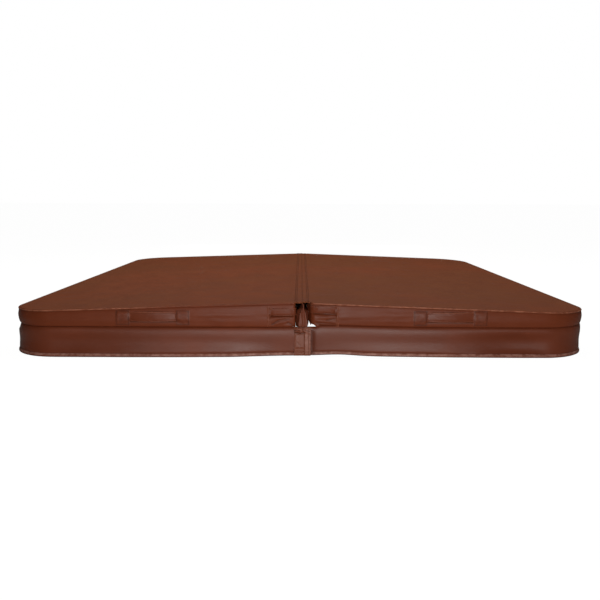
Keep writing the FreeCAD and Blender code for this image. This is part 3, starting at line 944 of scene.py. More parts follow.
@dataclass(frozen=True)
class HalfOutline:
    """The line that one half is cut to, seen from above, drawn for the half at +X."""

    near: float
    far: float
    reach: float
    fold_radius: float
    corner_radius: float

    def drawn_in(self, fold: float, outer: float) -> "HalfOutline":
        """The same outline, smaller.

        Args:
            fold: How far the fold side moves in, in metres.
            outer: How far the three outer sides move in.

        Returns:
            The new outline.
        """
        return HalfOutline(
            self.near + fold,
            self.far - outer,
            self.reach - outer,
            max(0.6 * MM, self.fold_radius - min(fold, outer)),
            max(0.6 * MM, self.corner_radius - outer),
        )

    @staticmethod
    def _turn(x: float, y: float, radius: float, start: float, end: float, shares: Array) -> Pair:
        """Points and outward normals of an arc at shares of its length.

        Args:
            x: The centre's place.
            y: The centre's place.
            radius: The arc's radius.
            start: The angle where it starts, in degrees.
            end: The angle where it ends.
            shares: Shares of its length, from 0 to 1.

        Returns:
            Points and outward normals.
        """
        angle = np.radians(start + (end - start) * shares)
        normal = np.stack([np.cos(angle), np.sin(angle)], axis=1)
        return np.array([x, y]) + radius * normal, normal

    def _side(self, corners: Sequence[tuple], straight: float, shares: Array) -> Pair:
        """One side of the outline, between the middles of two corners.

        Args:
            corners: For each end of the side, the corner's centre, radius and angles.
            straight: The length of the straight stretch between the corners.
            shares: Shares of the side's whole length, from 0 to 1.

        Returns:
            Points and outward normals.
        """
        first, second = corners
        lengths = [corner[2] * math.radians(45.0) for corner in corners]
        distance = shares * (lengths[0] + straight + lengths[1])
        start, start_normal = self._turn(*first, np.clip(distance / lengths[0], 0, 1))
        past = np.clip(distance - lengths[0], 0, straight)
        end, end_normal = self._turn(*second, np.clip((distance - lengths[0] - straight) / lengths[1], 0, 1))
        early = (distance <= lengths[0])[:, None]
        late = (distance >= lengths[0] + straight)[:, None]
        corner_end, _ = self._turn(*first, np.ones(1))
        corner_start, normal = self._turn(*second, np.zeros(1))
        middle = corner_end + past[:, None] * ((corner_start - corner_end) / max(straight, 1e-9))
        points = np.where(early, start, np.where(late, end, middle))
        return points, np.where(early, start_normal, np.where(late, end_normal, normal))

    def sides(self, across: Array, along: Array) -> list[Pair]:
        """The four sides in turn: front, outer, back and fold, anticlockwise from the fold's front corner.

        Args:
            across: Shares of the front and back sides.
            along: Shares of the outer and fold sides.

        Returns:
            Points and outward normals of each side.
        """
        fold_x, outer_x = self.near + self.fold_radius, self.far - self.corner_radius
        fold_y, outer_y = self.reach - self.fold_radius, self.reach - self.corner_radius
        small, large = self.fold_radius, self.corner_radius
        front = [(fold_x, -fold_y, small, 225, 270), (outer_x, -outer_y, large, 270, 315)]
        outer = [(outer_x, -outer_y, large, 315, 360), (outer_x, outer_y, large, 0, 45)]
        back = [(outer_x, outer_y, large, 45, 90), (fold_x, fold_y, small, 90, 135)]
        fold = [(fold_x, fold_y, small, 135, 180), (fold_x, -fold_y, small, 180, 225)]
        width = outer_x - fold_x
        return [
            self._side(front, width, across),
            self._side(outer, 2 * outer_y, along),
            self._side(back, width, 1.0 - across[::-1]),
            self._side(fold, 2 * fold_y, 1.0 - along[::-1]),
        ]

    def loop(self, across: Array, along: Array) -> Pair:
        """The whole outline as one ring of points with their outward normals."""
        found = zip(*self.sides(across, along))
        return tuple(np.concatenate([side[:-1] for side in part]) for part in found)

    def depth(self, points: Array) -> Array:
        """How far inside the outline each point lies.

        Args:
            points: Places in plan.

        Returns:
            The distance at each point, negative outside.
        """
        middle = np.array([(self.near + self.far) / 2, 0.0])
        half = np.array([(self.far - self.near) / 2, self.reach])
        radius = np.where(points[..., 0] > middle[0], self.corner_radius, self.fold_radius)
        beyond = np.abs(points[..., :2] - middle) - half + radius[..., None]
        outside = np.linalg.norm(np.maximum(beyond, 0.0), axis=-1)
        return radius - outside - np.minimum(beyond.max(axis=-1), 0.0)


def patch_inside(ring: Array, shares: Sequence[Array]) -> Array:
    """Fills a ring of plan points with a smooth grid.

    Args:
        ring: The ring, anticlockwise from the fold's front corner.
        shares: The shares of its steps across and along.

    Returns:
        A grid of plan points whose border is the ring.
    """
    across, along = (len(share) - 1 for share in shares)
    closed = np.concatenate([ring, ring[:1]])
    front = closed[: across + 1]
    outer = closed[across : across + along + 1]
    back = closed[across + along : 2 * across + along + 1][::-1]
    fold = closed[2 * across + along :][::-1]
    u, v = shares[0][:, None, None], shares[1][None, :, None]
    ruled = (1 - v) * front[:, None] + v * back[:, None] + (1 - u) * fold[None] + u * outer[None]
    near = (1 - u) * (1 - v) * front[0] + u * (1 - v) * front[-1]
    return ruled - (near + (1 - u) * v * back[0] + u * v * back[-1])


def grid_ring(grid: Array) -> Array:
    """The border of a grid, in the order of an outline's ring."""
    return np.concatenate([grid[:-1, 0], grid[-1, :-1], grid[:0:-1, -1], grid[0, :0:-1]])


# ---------------------------------------------------------------------------------------------------------
# Sewing


def stitch_box(x: Range, z: Range, inset: float, step: float) -> Array:
    """Points round a rectangle, to lay a row of stitches on.

    Args:
        x: The two sides of the sewn patch.
        z: Its lower and upper edge.
        inset: How far inside them the row runs.
        step: The distance between the points.

    Returns:
        One row of x and z for each point.
    """
    (x0, x1), (z0, z1) = x, z
    low_x, high_x, low_z, high_z = x0 + inset, x1 - inset, z0 + inset, z1 - inset
    corners = [(low_x, low_z), (high_x, low_z), (high_x, high_z), (low_x, high_z), (low_x, low_z)]
    return stepped(corners, step)


@dataclass(frozen=True)
class StitchRow:
    """A row of lockstitch that lies on a surface."""

    pitch: float = 5.2 * MM
    length: float = 3.7 * MM
    radius: float = 0.55 * MM
    lift: float = 0.12 * MM

    def sew(self, sketch: Sketch, path: Array, normals: Array) -> None:
        """Adds the stitches of one row.

        Args:
            sketch: The piece that the stitches join.
            path: The row's line, on the surface.
            normals: The surface's outward direction at each point of the line.
        """
        total = path_lengths(path)[-1]
        count = max(1, int(total / self.pitch))
        middles = (np.arange(count) + 0.5) * total / count
        half = self.length / 2
        rows = np.concatenate([path, normals], axis=1)
        start, middle, end = (walk(rows, middles + step) for step in (-half, 0.0, half))
        out = unit(middle[:, 3:])
        heading = unit(end[:, :3] - start[:, :3])
        across = np.cross(heading, out)
        centre = middle[:, :3] + self.lift * out
        rings = []
        for along in (-0.62, 0.62):
            hub = centre + heading * half * along + out * 0.1 * self.radius
            for turn in np.radians((90.0, 210.0, 330.0)):
                rings.append(hub + self.radius * (math.cos(turn) * across + math.sin(turn) * out))
        tips = [tip[:, :3] - 0.3 * self.radius * out for tip in (start, end)]
        numbers = sketch.add(np.stack(rings + tips, axis=1))
        for row in numbers:
            sketch.skin([row[0:3], row[3:6]], closed=True)
            sketch.fan(row[0:3], row[6])
            sketch.fan(row[3:6], row[7])


class Thimble:
    """Gathers all the stitches of one body into one piece."""

    def __init__(self, name: str, thread: Material) -> None:
        """Starts with no stitches.

        Args:
            name: The piece's name.
            thread: The finish of the thread.
        """
        self.sketch = Sketch(name)
        self.thread = thread
        self.row = StitchRow()

    def sew(self, path: Array, facing: Array | Sequence[float]) -> None:
        """Adds one row along a line on a surface, which faces one way or another way at each point."""
        self.row.sew(self.sketch, path, np.broadcast_to(facing, path.shape))

    def finish(self, body: str | tuple[str, str], bend: tuple[Place, Place] | None = None) -> None:
        """Makes the stitches and seats them on a body, or bakes their place when they lie across a joint."""
        ride(self.sketch.make([self.thread], crease=80.0), body, bend=bend)


# ---------------------------------------------------------------------------------------------------------
# Jackets


@dataclass(frozen=True)
class Crease:
    """A crease in a sheet, between two places given across and up, in millimetres.

    A crease with a depth below zero is a ridge.
    """

    start: Range
    end: Range
    depth: float
    width: float

    def share(self, across: Array, up: Array) -> Array:
        """How strongly the crease is felt at each place, from 0 to 1.

        Args:
            across: Places across the sheet, in metres.
            up: Heights, in metres.

        Returns:
            One share for each place.
        """
        x, z = across / MM - self.start[0], up / MM - self.start[1]
        run, climb = self.end[0] - self.start[0], self.end[1] - self.start[1]
        along = np.clip((x * run + z * climb) / (run * run + climb * climb), 0.0, 1.0)
        distance = np.hypot(x - along * run, z - along * climb)
        return np.exp(-((distance / self.width) ** 2))


def creased(creases: Sequence[Crease], across: Array, up: Array) -> Pair:
    """How deep a sheet is creased, and how far its creases are darkened as painted shade with grime.

    Args:
        creases: The sheet's creases.
        across: Places across the sheet, in metres.
        up: Heights, in metres.

    Returns:
        The depth in metres and the darkening from 0 to 1, at each place.
    """
    depth, dirt_and_shade = np.zeros(np.shape(across)), np.zeros(np.shape(across))
    for crease in creases:
        share = crease.share(across, up)
        depth = depth + crease.depth * MM * share
        dirt_and_shade = np.maximum(dirt_and_shade, share**1.1 * min(max(crease.depth, 0.0) / 2.4, 1.0))
    return depth, dirt_and_shade


# Creases of each band, under its carrying handle and round its fold handle, their dents darkened as painted
# shadow: distance from the fold and height, in millimetres
LEFT_CREASES = (
    Crease((700.0, 145.5), (496.0, 145.5), 2.2, 3.4),
    Crease((124.0, 168.0), (22.0, 171.5), 5.0, 3.8),
    Crease((127.5, 198.0), (127.0, 160.0), 2.8, 2.2),
    Crease((119.0, 135.0), (91.0, 151.0), 1.8, 3.2),
    Crease((91.0, 151.0), (50.0, 157.0), 1.3, 3.4),
    Crease((56.0, 143.0), (26.0, 127.0), 1.7, 3.6),
    Crease((112.0, 160.5), (62.0, 164.5), -1.1, 3.4),
    Crease((104.0, 138.0), (60.0, 147.0), -1.7, 5.0),
    Crease((70.0, 129.0), (44.0, 131.0), -1.2, 4.0),
)
RIGHT_CREASES = (
    Crease((694.0, 144.5), (502.0, 144.5), 2.2, 3.4),
    Crease((138.0, 176.5), (34.0, 180.5), 5.0, 3.8),
    Crease((138.5, 208.0), (138.0, 170.0), 2.8, 2.2),
    Crease((134.0, 208.0), (128.0, 206.0), 3.4, 4.0),
    Crease((136.0, 160.0), (96.0, 152.0), 1.4, 3.6),
    Crease((136.0, 143.0), (46.0, 150.5), -1.6, 2.8),
    Crease((136.0, 137.0), (50.0, 143.0), 1.2, 3.0),
    Crease((100.0, 165.0), (50.0, 160.0), -1.2, 4.0),
    Crease((74.0, 131.0), (48.0, 140.0), 1.2, 3.4),
)


@dataclass
class Jacket:
    """The sewn vinyl jacket of one half, tight over its foam core.

    The top panel ends in a welt, the band below it swells a little between its seams, and the jacket turns
    under the foam at the bottom. On the fold side the wall has a sunk window for the zip.
    """

    side: Side
    top_vinyl: Material
    band_vinyl: Material
    creases: tuple[Crease, ...] = ()
    outline: HalfOutline = field(init=False)
    near: float = field(init=False)
    bottom: float = field(init=False)
    top: float = field(init=False)
    slope: float = field(init=False)
    rings: list[Array] = field(init=False)
    across: Array = field(init=False)
    along: Array = field(init=False)
    panel: float = 1.2 * MM
    corner_start: float = 0.41
    corner_power: float = 1.3
    wall_lift_in: float = 48.0 * MM
    wall_lift_out: Range = (170.0 * MM, 70.0 * MM)
    wall_lift_run: Range = (40.0 * MM, 6.0 * MM)
    pulled_from: Range = (24.0 * MM, 50.0 * MM)
    # How softly the welt's painted highlight with scuffing sets in along the outline
    worn_blend: float = 0.1
    # How dark the seam creases are painted: shade with grime
    crease_soil: float = 0.45
    coarse_step: float = 12.0 * MM
    band_across: float = 1122.0 * MM
    band_along: float = 2340.0 * MM
    zip_window: Range = (1138.0 * MM, 1128.0 * MM)
    edge_inset: float = 10.0 * MM
    fold_inset: float = 8.0 * MM
    flange: float = 21.0 * MM
    crown: float = 1.8 * MM
    crown_run: float = 70.0 * MM
    unevenness: float = 1.3 * MM
    # How strongly the welt is lightened as painted highlight with scuffing, and how far from the fold that
    # starts
    welt_wear: float = 0.9
    worn_from: float = 0.0
    corner_lift: float = 6.0 * MM
    corner_run: float = 28.0 * MM
    wall_lift: float = 0.0
    drawn_up: float = 0.0
    drawn_run: float = 330.0 * MM
    drawn_depth: Range = (0.16, 0.03)
    corner_radius: float = 203.0 * MM
    fold_radius: float = 8.0 * MM
    opened: float = 0.0
    opened_ends: Range = (58.0 * MM, 12.0 * MM)
    opened_run: float = 70.0 * MM
    base: float = 1.4 * MM
    spread: float = 0.0
    rise: float = 0.0
    seed: float = 3.1

    # Each ring of the jacket below its top panel: offset outwards, share of the band's height and height
    # added to that, in millimetres, on the outer sides and on the fold side
    RINGS = (
        ((-8.2, 1, 0.1), (-6.4, 1, -0.1)),
        ((-7.2, 1, -0.45), (-5.4, 1, -0.15)),
        ((-6.2, 1, 0.05), (-4.4, 1, -0.2)),
        ((-4.2, 1, -0.1), (-3.2, 1, -0.35)),
        ((-2.9, 1, -0.5), (-2.0, 1, -0.7)),
        ((-2.3, 1, -1.1), (-1.0, 1, -1.3)),
        ((-2.4, 1, -1.8), (-0.4, 1, -2.2)),
        ((-0.8, 1, -1.2), (-0.1, 1, -3.5)),
        ((1.2, 1, -1.8), (0.2, 1, -5.5)),
        ((2.6, 1, -3.7), (0.3, 1, -8.0)),
        ((2.3, 1, -5.8), (0.3, 0, 89.0)),
        ((-0.2, 1, -7.1), (-1.3, 0, 88.4)),
        ((0.8, 1, -9.6), (-1.3, 0, 76.0)),
        ((2.4, 0.85, -6.8), (-1.3, 0, 63.6)),
        ((3.6, 0.70, -5.0), (0.3, 0, 63.0)),
        ((4.2, 0.55, -3.3), (0.5, 0, 52.0)),
        ((4.1, 0.40, -1.5), (0.6, 0, 40.0)),
        ((3.2, 0.26, 0.6), (0.5, 0, 28.0)),
        ((1.8, 0.14, 2.4), (0.3, 0, 16.0)),
        ((0.2, 0, 4.5), (0.1, 0, 7.0)),
        ((-1.2, 0, 2.2), (-0.3, 0, 2.5)),
        ((-3.0, 0, 0.5), (-0.9, 0, 0.8)),
        ((-5.2, 0, -0.1), (-1.6, 0, 0.1)),
    )
    # Rings darkened as painted shade with grime, and the welt's rings, lightened as painted highlight with
    # scuffing
    CREASES = (6, 11)
    WELT = (8, 9, 10)

    def __post_init__(self) -> None:
        """Reads the half's place from the frame."""
        low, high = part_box(f"top_panel_{self.side.label}")
        wall_low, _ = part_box(f"side_band_{self.side.label}")
        self.near = min(abs(low.x), abs(high.x))
        far = max(abs(low.x), abs(high.x))
        self.outline = HalfOutline(self.near, far + self.spread, high.y, self.fold_radius, self.corner_radius)
        self.bottom = wall_low.z
        self.top = high.z
        self.slope = (high.z - low.z - self.panel - self.rise) / (far - self.near)
        self.rings = self._denser(12, 19, 3)
        self.across = graded(self.band_across, 3.4 * MM, self.coarse_step, run=150.0 * MM)
        self.along = graded(self.band_along, 3.0 * MM, self.coarse_step)

    def _denser(self, first: int, last: int, parts: int) -> list[Array]:
        """The profile with extra rings in even steps between two of its rings.

        Args:
            first: The ring where the extra ones begin.
            last: The ring where they end.
            parts: How many steps each stretch is cut into.

        Returns:
            All the rings.
        """
        rings = np.array(self.RINGS)
        found = list(rings[:first])
        for here, there in zip(rings[first:last], rings[first + 1 : last + 1]):
            found += [here + (there - here) * (step / parts) for step in range(parts)]
        return found + list(rings[last:])

    def wall(self, y: Array) -> Array:
        """How far the fold wall has opened away from the fold, close to its two ends."""
        return self.opened * soft_step(*self.opened_ends, self.outline.reach - np.abs(y))

    def plane(self, x: Array) -> Array:
        """Height of the tapered top face at a distance from the fold."""
        return self.top - self.slope * (np.abs(x) - self.near)

    def placed(self, plan: Array, z: Array) -> Array:
        """Points in the frame from plan points drawn for the half at +X and their heights.

        Args:
            plan: Plan points drawn for the half at +X.
            z: Their heights.

        Returns:
            The points.
        """
        beside = hump(np.maximum(plan[..., 0] - self.near, 0.0), 0.0, self.opened_run)
        x = plan[..., 0] + self.wall(plan[..., 1]) * beside
        return grid_of(self.side.value * x, plan[..., 1], z)

    def _fold_share(self, normals: Array) -> Array:
        """How far each point of a ring belongs to the fold side: 0 on the outer sides, 1 on the fold."""
        return soft_step(0.0, 1.0, np.maximum(0.0, -normals[:, 0]))

    def pulled(self, plan: Array) -> Array:
        """How far the band and the skirt's seam are pulled up along the front and back.

        Args:
            plan: Plan points drawn for the half at +X.

        Returns:
            The distance at each point.
        """
        inward = self.outline.reach - np.abs(plan[..., 1])
        sideways = hump(plan[..., 0], self.near, self.drawn_run)
        return self.drawn_up * sideways * soft_step(*self.drawn_depth, inward)

    def lift(self, plan: Array) -> Array:
        """How far the jacket's lower edge is drawn up, most at the corners beside the fold.

        Args:
            plan: Plan points drawn for the half at +X.

        Returns:
            The distance at each point.
        """
        inward = self.outline.reach - np.abs(plan[..., 1])
        past = plan[..., 0] - self.near
        away = np.maximum(np.hypot(past, inward) - self.corner_start * self.fold_radius, 0.0)
        corner = self.corner_lift * np.clip(1.0 - away / self.corner_run, 0.0, 1.0) ** self.corner_power
        behind = soft_step(0.0, self.wall_lift_in, inward) * soft_step(*self.wall_lift_out, inward)
        corner = np.maximum(corner, self.wall_lift * soft_step(*self.wall_lift_run, past) * behind)
        return np.maximum(corner, self.pulled(plan) * soft_step(*self.pulled_from, past))

    def _ring(self, index: int, plan: Array, normals: Array) -> Array:
        """One ring of the jacket's wall.

        Args:
            index: The ring's place in the profile.
            plan: Points of the cut line.
            normals: Their outward normals.

        Returns:
            The ring's points in the frame.
        """
        outer, fold = self.rings[index]
        share = self._fold_share(normals)
        height = self.plane(plan[:, 0]) - self.bottom
        window = soft_step(*self.zip_window, np.abs(plan[:, 1]))
        sunk = fold[0] if fold[0] > -1.25 else fold[0] * window + 0.3 * (1.0 - window)
        offset = (outer[0] * (1 - share) + sunk * share) * MM
        z = self.bottom + (outer[1] * (1 - share) + fold[1] * share) * height
        z = z + (outer[2] * (1 - share) + fold[2] * share) * MM
        rise = np.clip((z - self.bottom) / height, 0.0, 1.0)
        z = z + self.lift(plan) * (1.0 - rise) ** 2
        spots = np.column_stack([plan, z])
        swell = np.sin(math.pi * rise) * (1.0 - share)
        creases = lumps(spots, (0.16, 0.16, 0.016), self.seed + self.side.value)
        broad = lumps(spots, (0.34, 0.34, 0.2), self.seed + 7.7)
        fine = lumps(spots, (0.05, 0.05, 0.02), self.seed + 17.7)
        offset = offset + swell * (0.8 * creases + 1.2 * broad + 0.5 * fine) * self.unevenness
        offset = offset - self._creased(plan, normals, z)[0]
        return self.placed(plan + normals * offset[:, None], z)

    def _creased(self, plan: Array, normals: Array, z: Array) -> Pair:
        """Depth of the creases beside the fold, and their darkening as painted shade with grime, at points of
        a ring.

        Args:
            plan: The ring's points in plan.
            normals: Their outward normals.
            z: Their heights.

        Returns:
            The depth and the darkening at each point.
        """
        facing = soft_step(0.6, 0.95, np.abs(normals[:, 1]))
        depth, dirt_and_shade = creased(self.creases, plan[:, 0], z)
        return depth * facing, dirt_and_shade * facing

    def _top_heights(self, plan: Array) -> Array:
        """Height of the top panel over a grid of plan points.

        Args:
            plan: Plan points drawn for the half at +X.

        Returns:
            The height at each point.
        """
        depth = self.outline.depth(plan)
        rise = self.crown * (1.0 - np.exp(-np.maximum(depth - self.edge_inset, 0.0) / self.crown_run))
        spots = grid_of(plan[..., 0], plan[..., 1], 0.0)
        soft = lumps(spots, (0.42, 0.30, 1.0), self.seed + 1.3 * self.side.value)
        tight = lumps(spots, (0.09, 0.12, 1.0), self.seed + 21.0)
        uneven = soft_step(0.0, 60.0 * MM, depth) * self.unevenness * (0.8 * soft + 0.2 * tight)
        return self.plane(plan[..., 0]) + 0.25 * MM + rise + uneven

    def build(self) -> Piece:
        """Makes the jacket.

        Returns:
            The closed jacket.
        """
        sketch = Sketch(f"jacket_{self.side.label}")
        shares = self.across, self.along
        inner, _ = self.outline.drawn_in(self.fold_inset, self.edge_inset).loop(*shares)
        plan = patch_inside(inner, shares)
        grid = sketch.add(self.placed(plan, self._top_heights(plan)))
        sketch.skin(grid)
        ring_plan, normals = self.outline.loop(*shares)
        rows = [grid_ring(grid)]
        for index in range(len(self.rings)):
            # The welt is lightened as painted highlight with scuffing, beyond a distance from the fold set
            # for each half
            blend = (self.worn_from - self.worn_blend, self.worn_from + self.worn_blend)
            worn_and_sheen = soft_step(*blend, ring_plan[:, 0])
            wear = self.welt_wear * worn_and_sheen * (index in self.WELT)
            # Seam creases under the top panel and the welt are darkened as painted shade with grime, as are
            # the creases round the handles
            soil = self.crease_soil if index in self.CREASES else 0.0
            ring = self._ring(index, ring_plan, normals)
            _, dirt_and_shade = self._creased(ring_plan, normals, ring[:, 2])
            rows.append(sketch.add(ring, wear, np.maximum(soil, dirt_and_shade)))
        sketch.skin(rows[: self.CREASES[0] + 2], closed=True)
        sketch.skin(rows[self.CREASES[0] + 1 :], closed=True, finish=1)
        under, _ = self.outline.drawn_in(1.6 * MM, self.flange).loop(*shares)
        inside = patch_inside(under, shares)
        turned = sketch.add(self.placed(under, self.bottom - 0.2 * MM + self.lift(under)))
        tucked = sketch.add(self.placed(under, self.bottom + self.base + self.lift(under)))
        sketch.skin([rows[-1], turned, tucked], closed=True, finish=1)
        base = sketch.add(self.placed(inside, self.bottom + self.base + self.lift(inside)))
        sketch.skin(base, finish=1)
        sketch.skin([tucked, grid_ring(base)], closed=True, finish=1)
        return sketch.make([self.top_vinyl, self.band_vinyl], crease=60.0)

    def seam_line(self, index: int) -> Pair:
        """A ring of the wall round the three outer sides, from fold corner to fold corner.

        Args:
            index: The ring's place in the profile.

        Returns:
            The ring's points and the way the wall faces there, to lay a stitch row on.
        """
        plan, normals = self.outline.loop(self.across, self.along)
        here, there = (self._ring(place, plan, normals) for place in (index, index + 1))
        heading = unit(np.roll(here, -1, axis=0) - np.roll(here, 1, axis=0))
        facing = unit(np.cross(unit(there - here), heading))
        outward = self.placed(normals, 0.0) + np.array([0.0, 0.0, 0.4])
        facing = np.where((facing * outward).sum(1, keepdims=True) < 0, -facing, facing)
        stretch = slice(4, 2 * (len(self.across) - 1) + len(self.along) - 4)
        return here[stretch], facing[stretch]

    def band_reach(self, x: float, z: Array, end: End) -> Array:
        """How far out the band lies along the front or back.

        Args:
            x: Distance from the fold.
            z: Heights to look up.
            end: Front or back.

        Returns:
            The distance of the band's face from the middle of the cover, along Y.
        """
        plan = np.array([[x, end.value * self.outline.reach]])
        normal = np.array([[0.0, end.value]])
        rings = np.array([self._ring(index, plan, normal)[0] for index in range(9, len(self.rings))])[::-1]
        return np.interp(z, rings[:, 2], np.abs(rings[:, 1]))


# ---------------------------------------------------------------------------------------------------------
# Skirt and flaps


@dataclass
class Skirt:
    """The skirt of one half, sewn under the rim and hanging to the floor with a folded hem."""

    side: Side
    vinyl: Material
    jacket: Jacket
    inset_reach: float = field(init=False)
    plan: Array = field(init=False)
    normals: Array = field(init=False)
    drop: float = field(init=False)
    corner_radius: float = 198.0 * MM
    spacing: float = 12.0 * MM
    belly: float = 10.5
    belly_top: float = 121.0
    tuck: float = 18.0
    tuck_at: float = 0.86
    tuck_run: float = 0.17
    beside_flap: float = 0.0
    away_x: Range = (0.05, 0.32)
    belly_run: float = 22.0
    hem_z: Range = (66.0, 16.0)
    gather_z: float = 112.0
    gather_run: float = 9.0
    pulled_x: Range = (50.0 * MM, 76.0 * MM)
    rise_x: Range = (120.0 * MM, 50.0 * MM)
    rise_z: Range = (50.0, 123.0)
    tuck_z: Range = (112.0, 66.0)
    hollow_z: Range = (122.0, 96.0)
    hollow_at: float = 0.040
    hollow_run: float = 0.013
    # Where the painted shadow beside the flap lies, as a distance from the fold, and how wide it is
    grime_at: float = 0.044
    grime_run: float = 0.012
    tug: float = 5.0 * MM
    tug_at: float = 0.155
    tug_run: float = 0.085
    hem_flare: float = 4.0
    front_flare: float = 9.0
    wave: float = 3.2
    pucker: float = 0.45
    fold_rise: float = 1.2 * MM
    middle_rise: float = 6.5 * MM
    middle_reach: float = 0.34
    seam_allowance: float = 12.0 * MM
    seed: float = 11.4

    # The sheet's section from the seam down to the hem and up its inner face: outward offset and height, in
    # millimetres
    SECTION = (
        (-3.4, 123.2), (-2.2, 122.2), (0.8, 120.6), (3.4, 116.8), (5.3, 110.6), (6.6, 102.0), (6.8, 91.0),
        (6.0, 78.0), (4.8, 64.0), (3.6, 50.0), (2.8, 38.0), (2.2, 25.0), (2.0, 16.6), (1.2, 14.6),
        (2.6, 13.2), (4.4, 10.6), (5.6, 7.0), (5.9, 3.4), (5.2, 1.0), (3.8, 0.0), (2.2, 0.8),
        (1.2, 3.4), (0.2, 8.0), (-0.8, 12.4), (-0.9, 14.6), (0.0, 15.8), (0.6, 25.0), (1.2, 38.0),
        (2.0, 50.0), (3.2, 64.0), (4.4, 78.0), (5.2, 91.0), (5.0, 101.0), (3.8, 109.0), (1.8, 115.2),
        (-0.8, 119.0), (-4.4, 121.4),
    )
    OUTER_FACE = slice(0, 19)
    HEM_STITCH = 13
    HEM = slice(14, 17)

    def __post_init__(self) -> None:
        """Reads the skirt's place from the frame and lays out its path."""
        low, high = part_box(f"skirt_{self.side.label}")
        ends = sorted((self.side.value * low.x, self.side.value * high.x))
        self.inset_reach = high.y
        outline = HalfOutline(ends[0], ends[1], high.y, 0.6 * MM, self.corner_radius)
        across = graded(1.1, 4.0 * MM, self.spacing, run=80.0 * MM)
        along = graded(2.3, 12.0 * MM, self.spacing)
        points, normals = zip(*outline.sides(across, along)[:3])
        self.plan = np.concatenate([points[0], points[1][1:], points[2][1:]])
        self.normals = np.concatenate([normals[0], normals[1][1:], normals[2][1:]])
        self.plan[0], self.plan[-1] = (ends[0], -high.y), (ends[0], high.y)
        self.normals[0], self.normals[-1] = (0.0, -1.0), (0.0, 1.0)
        self.drop = high.z

    def rise(self, plan: Array) -> Array:
        """How far the hem is drawn up off the floor along the front and back.

        Args:
            plan: Places in plan.

        Returns:
            The distance at each place.
        """
        x = self.side.value * plan[:, 0]
        reach = self.middle_reach * (1.0 + 0.25 * self.side.value)
        bowed = self.middle_rise * hump(x, 0.0, reach)
        return bowed + self.tug * hump(x, self.tug_at, self.tug_run) * (plan[:, 1] < 0)

    def drape(self, plan: Array, normals: Array, section: Array) -> Array:
        """Hangs a section along a line in plan.

        Args:
            plan: Points of the line, drawn for the half at +X.
            normals: Their outward normals.
            section: Offsets and heights in millimetres.

        Returns:
            The sheet's points, one row for each plan point.
        """
        z = section[None, :, 1]
        low = np.clip(1.0 - z / (self.drop / MM), 0.0, 1.0)
        sideways = np.abs(normals[:, :1]) ** 2
        away = soft_step(*self.away_x, np.abs(plan[:, :1]))
        belly = soft_step(self.belly_top, self.belly_top - self.belly_run, z) * self.belly * sideways
        flare = self.hem_flare * sideways + self.front_flare * away * (1 - sideways)
        hem = soft_step(*self.hem_z, z) * flare - self._tucked(plan, z) * (1 - sideways)
        spots = grid_of(self.side.value * plan[:, :1], plan[:, 1:], z * MM)
        broad = lumps(spots, (0.24, 0.24, 0.5), self.seed)
        narrow = lumps(spots, (0.085, 0.085, 0.16), self.seed + 5.0)
        waves = self.wave * (low**1.2) * (0.25 + 0.75 * away) * (broad + 0.45 * narrow)
        puckers = lumps(spots, (0.03, 0.03, 0.1), self.seed + 9.0)
        gathers = self.pucker * hump(z, self.gather_z, self.gather_run) * puckers
        offset = (section[None, :, 0] + belly + hem + waves + gathers) * MM
        flat = plan[:, None, :] + normals[:, None, :] * offset[..., None]
        height = z * MM + self.rise(plan)[:, None] * low
        seam = self.jacket.pulled(plan) * soft_step(*self.pulled_x, plan[:, 0])
        beside = self.fold_rise * soft_step(*self.rise_x, plan[:, 0]) * np.abs(normals[:, 1])
        height = height + np.maximum(seam, beside)[:, None] * soft_step(*self.rise_z, z)
        return np.stack([self.side.value * flat[..., 0], flat[..., 1], height], axis=-1)

    def _tucked(self, plan: Array, z: Array) -> Array:
        """How far the sheet hangs back below its shoulder where it is drawn in, in millimetres.

        Args:
            plan: Plan points drawn for the half at +X.
            z: Heights on the sheet, in millimetres.

        Returns:
            The distance at each point.
        """
        drawn = self.tuck * hump(plan[:, :1], self.tuck_at, self.tuck_run) * soft_step(*self.tuck_z, z)
        hollow = hump(plan[:, :1], self.hollow_at, self.hollow_run)
        beside = self.beside_flap * hollow * soft_step(*self.hollow_z, z)
        return drawn * soft_step(0.0, 30.0, z) + beside * soft_step(0.0, 20.0, z)

    def build(self) -> Piece:
        """Makes the skirt as one sheet with its hem folded up behind.

        Returns:
            The skirt.
        """
        section = np.array(self.SECTION)
        sketch = Sketch(f"skirt_sheet_{self.side.label}")
        # The hem's fold is lightened as painted highlight with scuffing
        wear = np.zeros(len(section))
        wear[self.HEM] = 1.0
        # The seam under the band, the hem's stitches and the hem's lower edge are darkened as painted shade
        # with grime
        soil = np.zeros(len(section))
        soil[[0, 1, self.HEM_STITCH, 18, 19]] = (1.0, 0.8, 0.5, 0.5, 0.8)
        x = self.side.value * self.plan[:, 0]
        # Painted shadow beside the flap, on the front and back faces
        flap_shadow = 0.5 * hump(x, self.grime_at, self.grime_run) * (np.abs(self.normals[:, 1]) > 0.9)
        soil = np.maximum(soil[None], flap_shadow[:, None] * (section[None, :, 1] < 116.0))
        sketch.tube(sketch.add(self.drape(self.plan, self.normals, section), wear[None], soil))
        made = sketch.make([self.vinyl], crease=60.0)
        return made

    def hem_line(self) -> Pair:
        """The line of the hem's stitches and the way the sheet faces there.

        Returns:
            The line and the facing at each of its points.
        """
        section = np.array(self.SECTION)[[self.HEM_STITCH]]
        line = self.drape(self.plan, self.normals, section)[:, 0]
        facing = grid_of(self.side.value * self.normals[:, 0], self.normals[:, 1], 0.0)
        return line[1:-1], facing[1:-1]

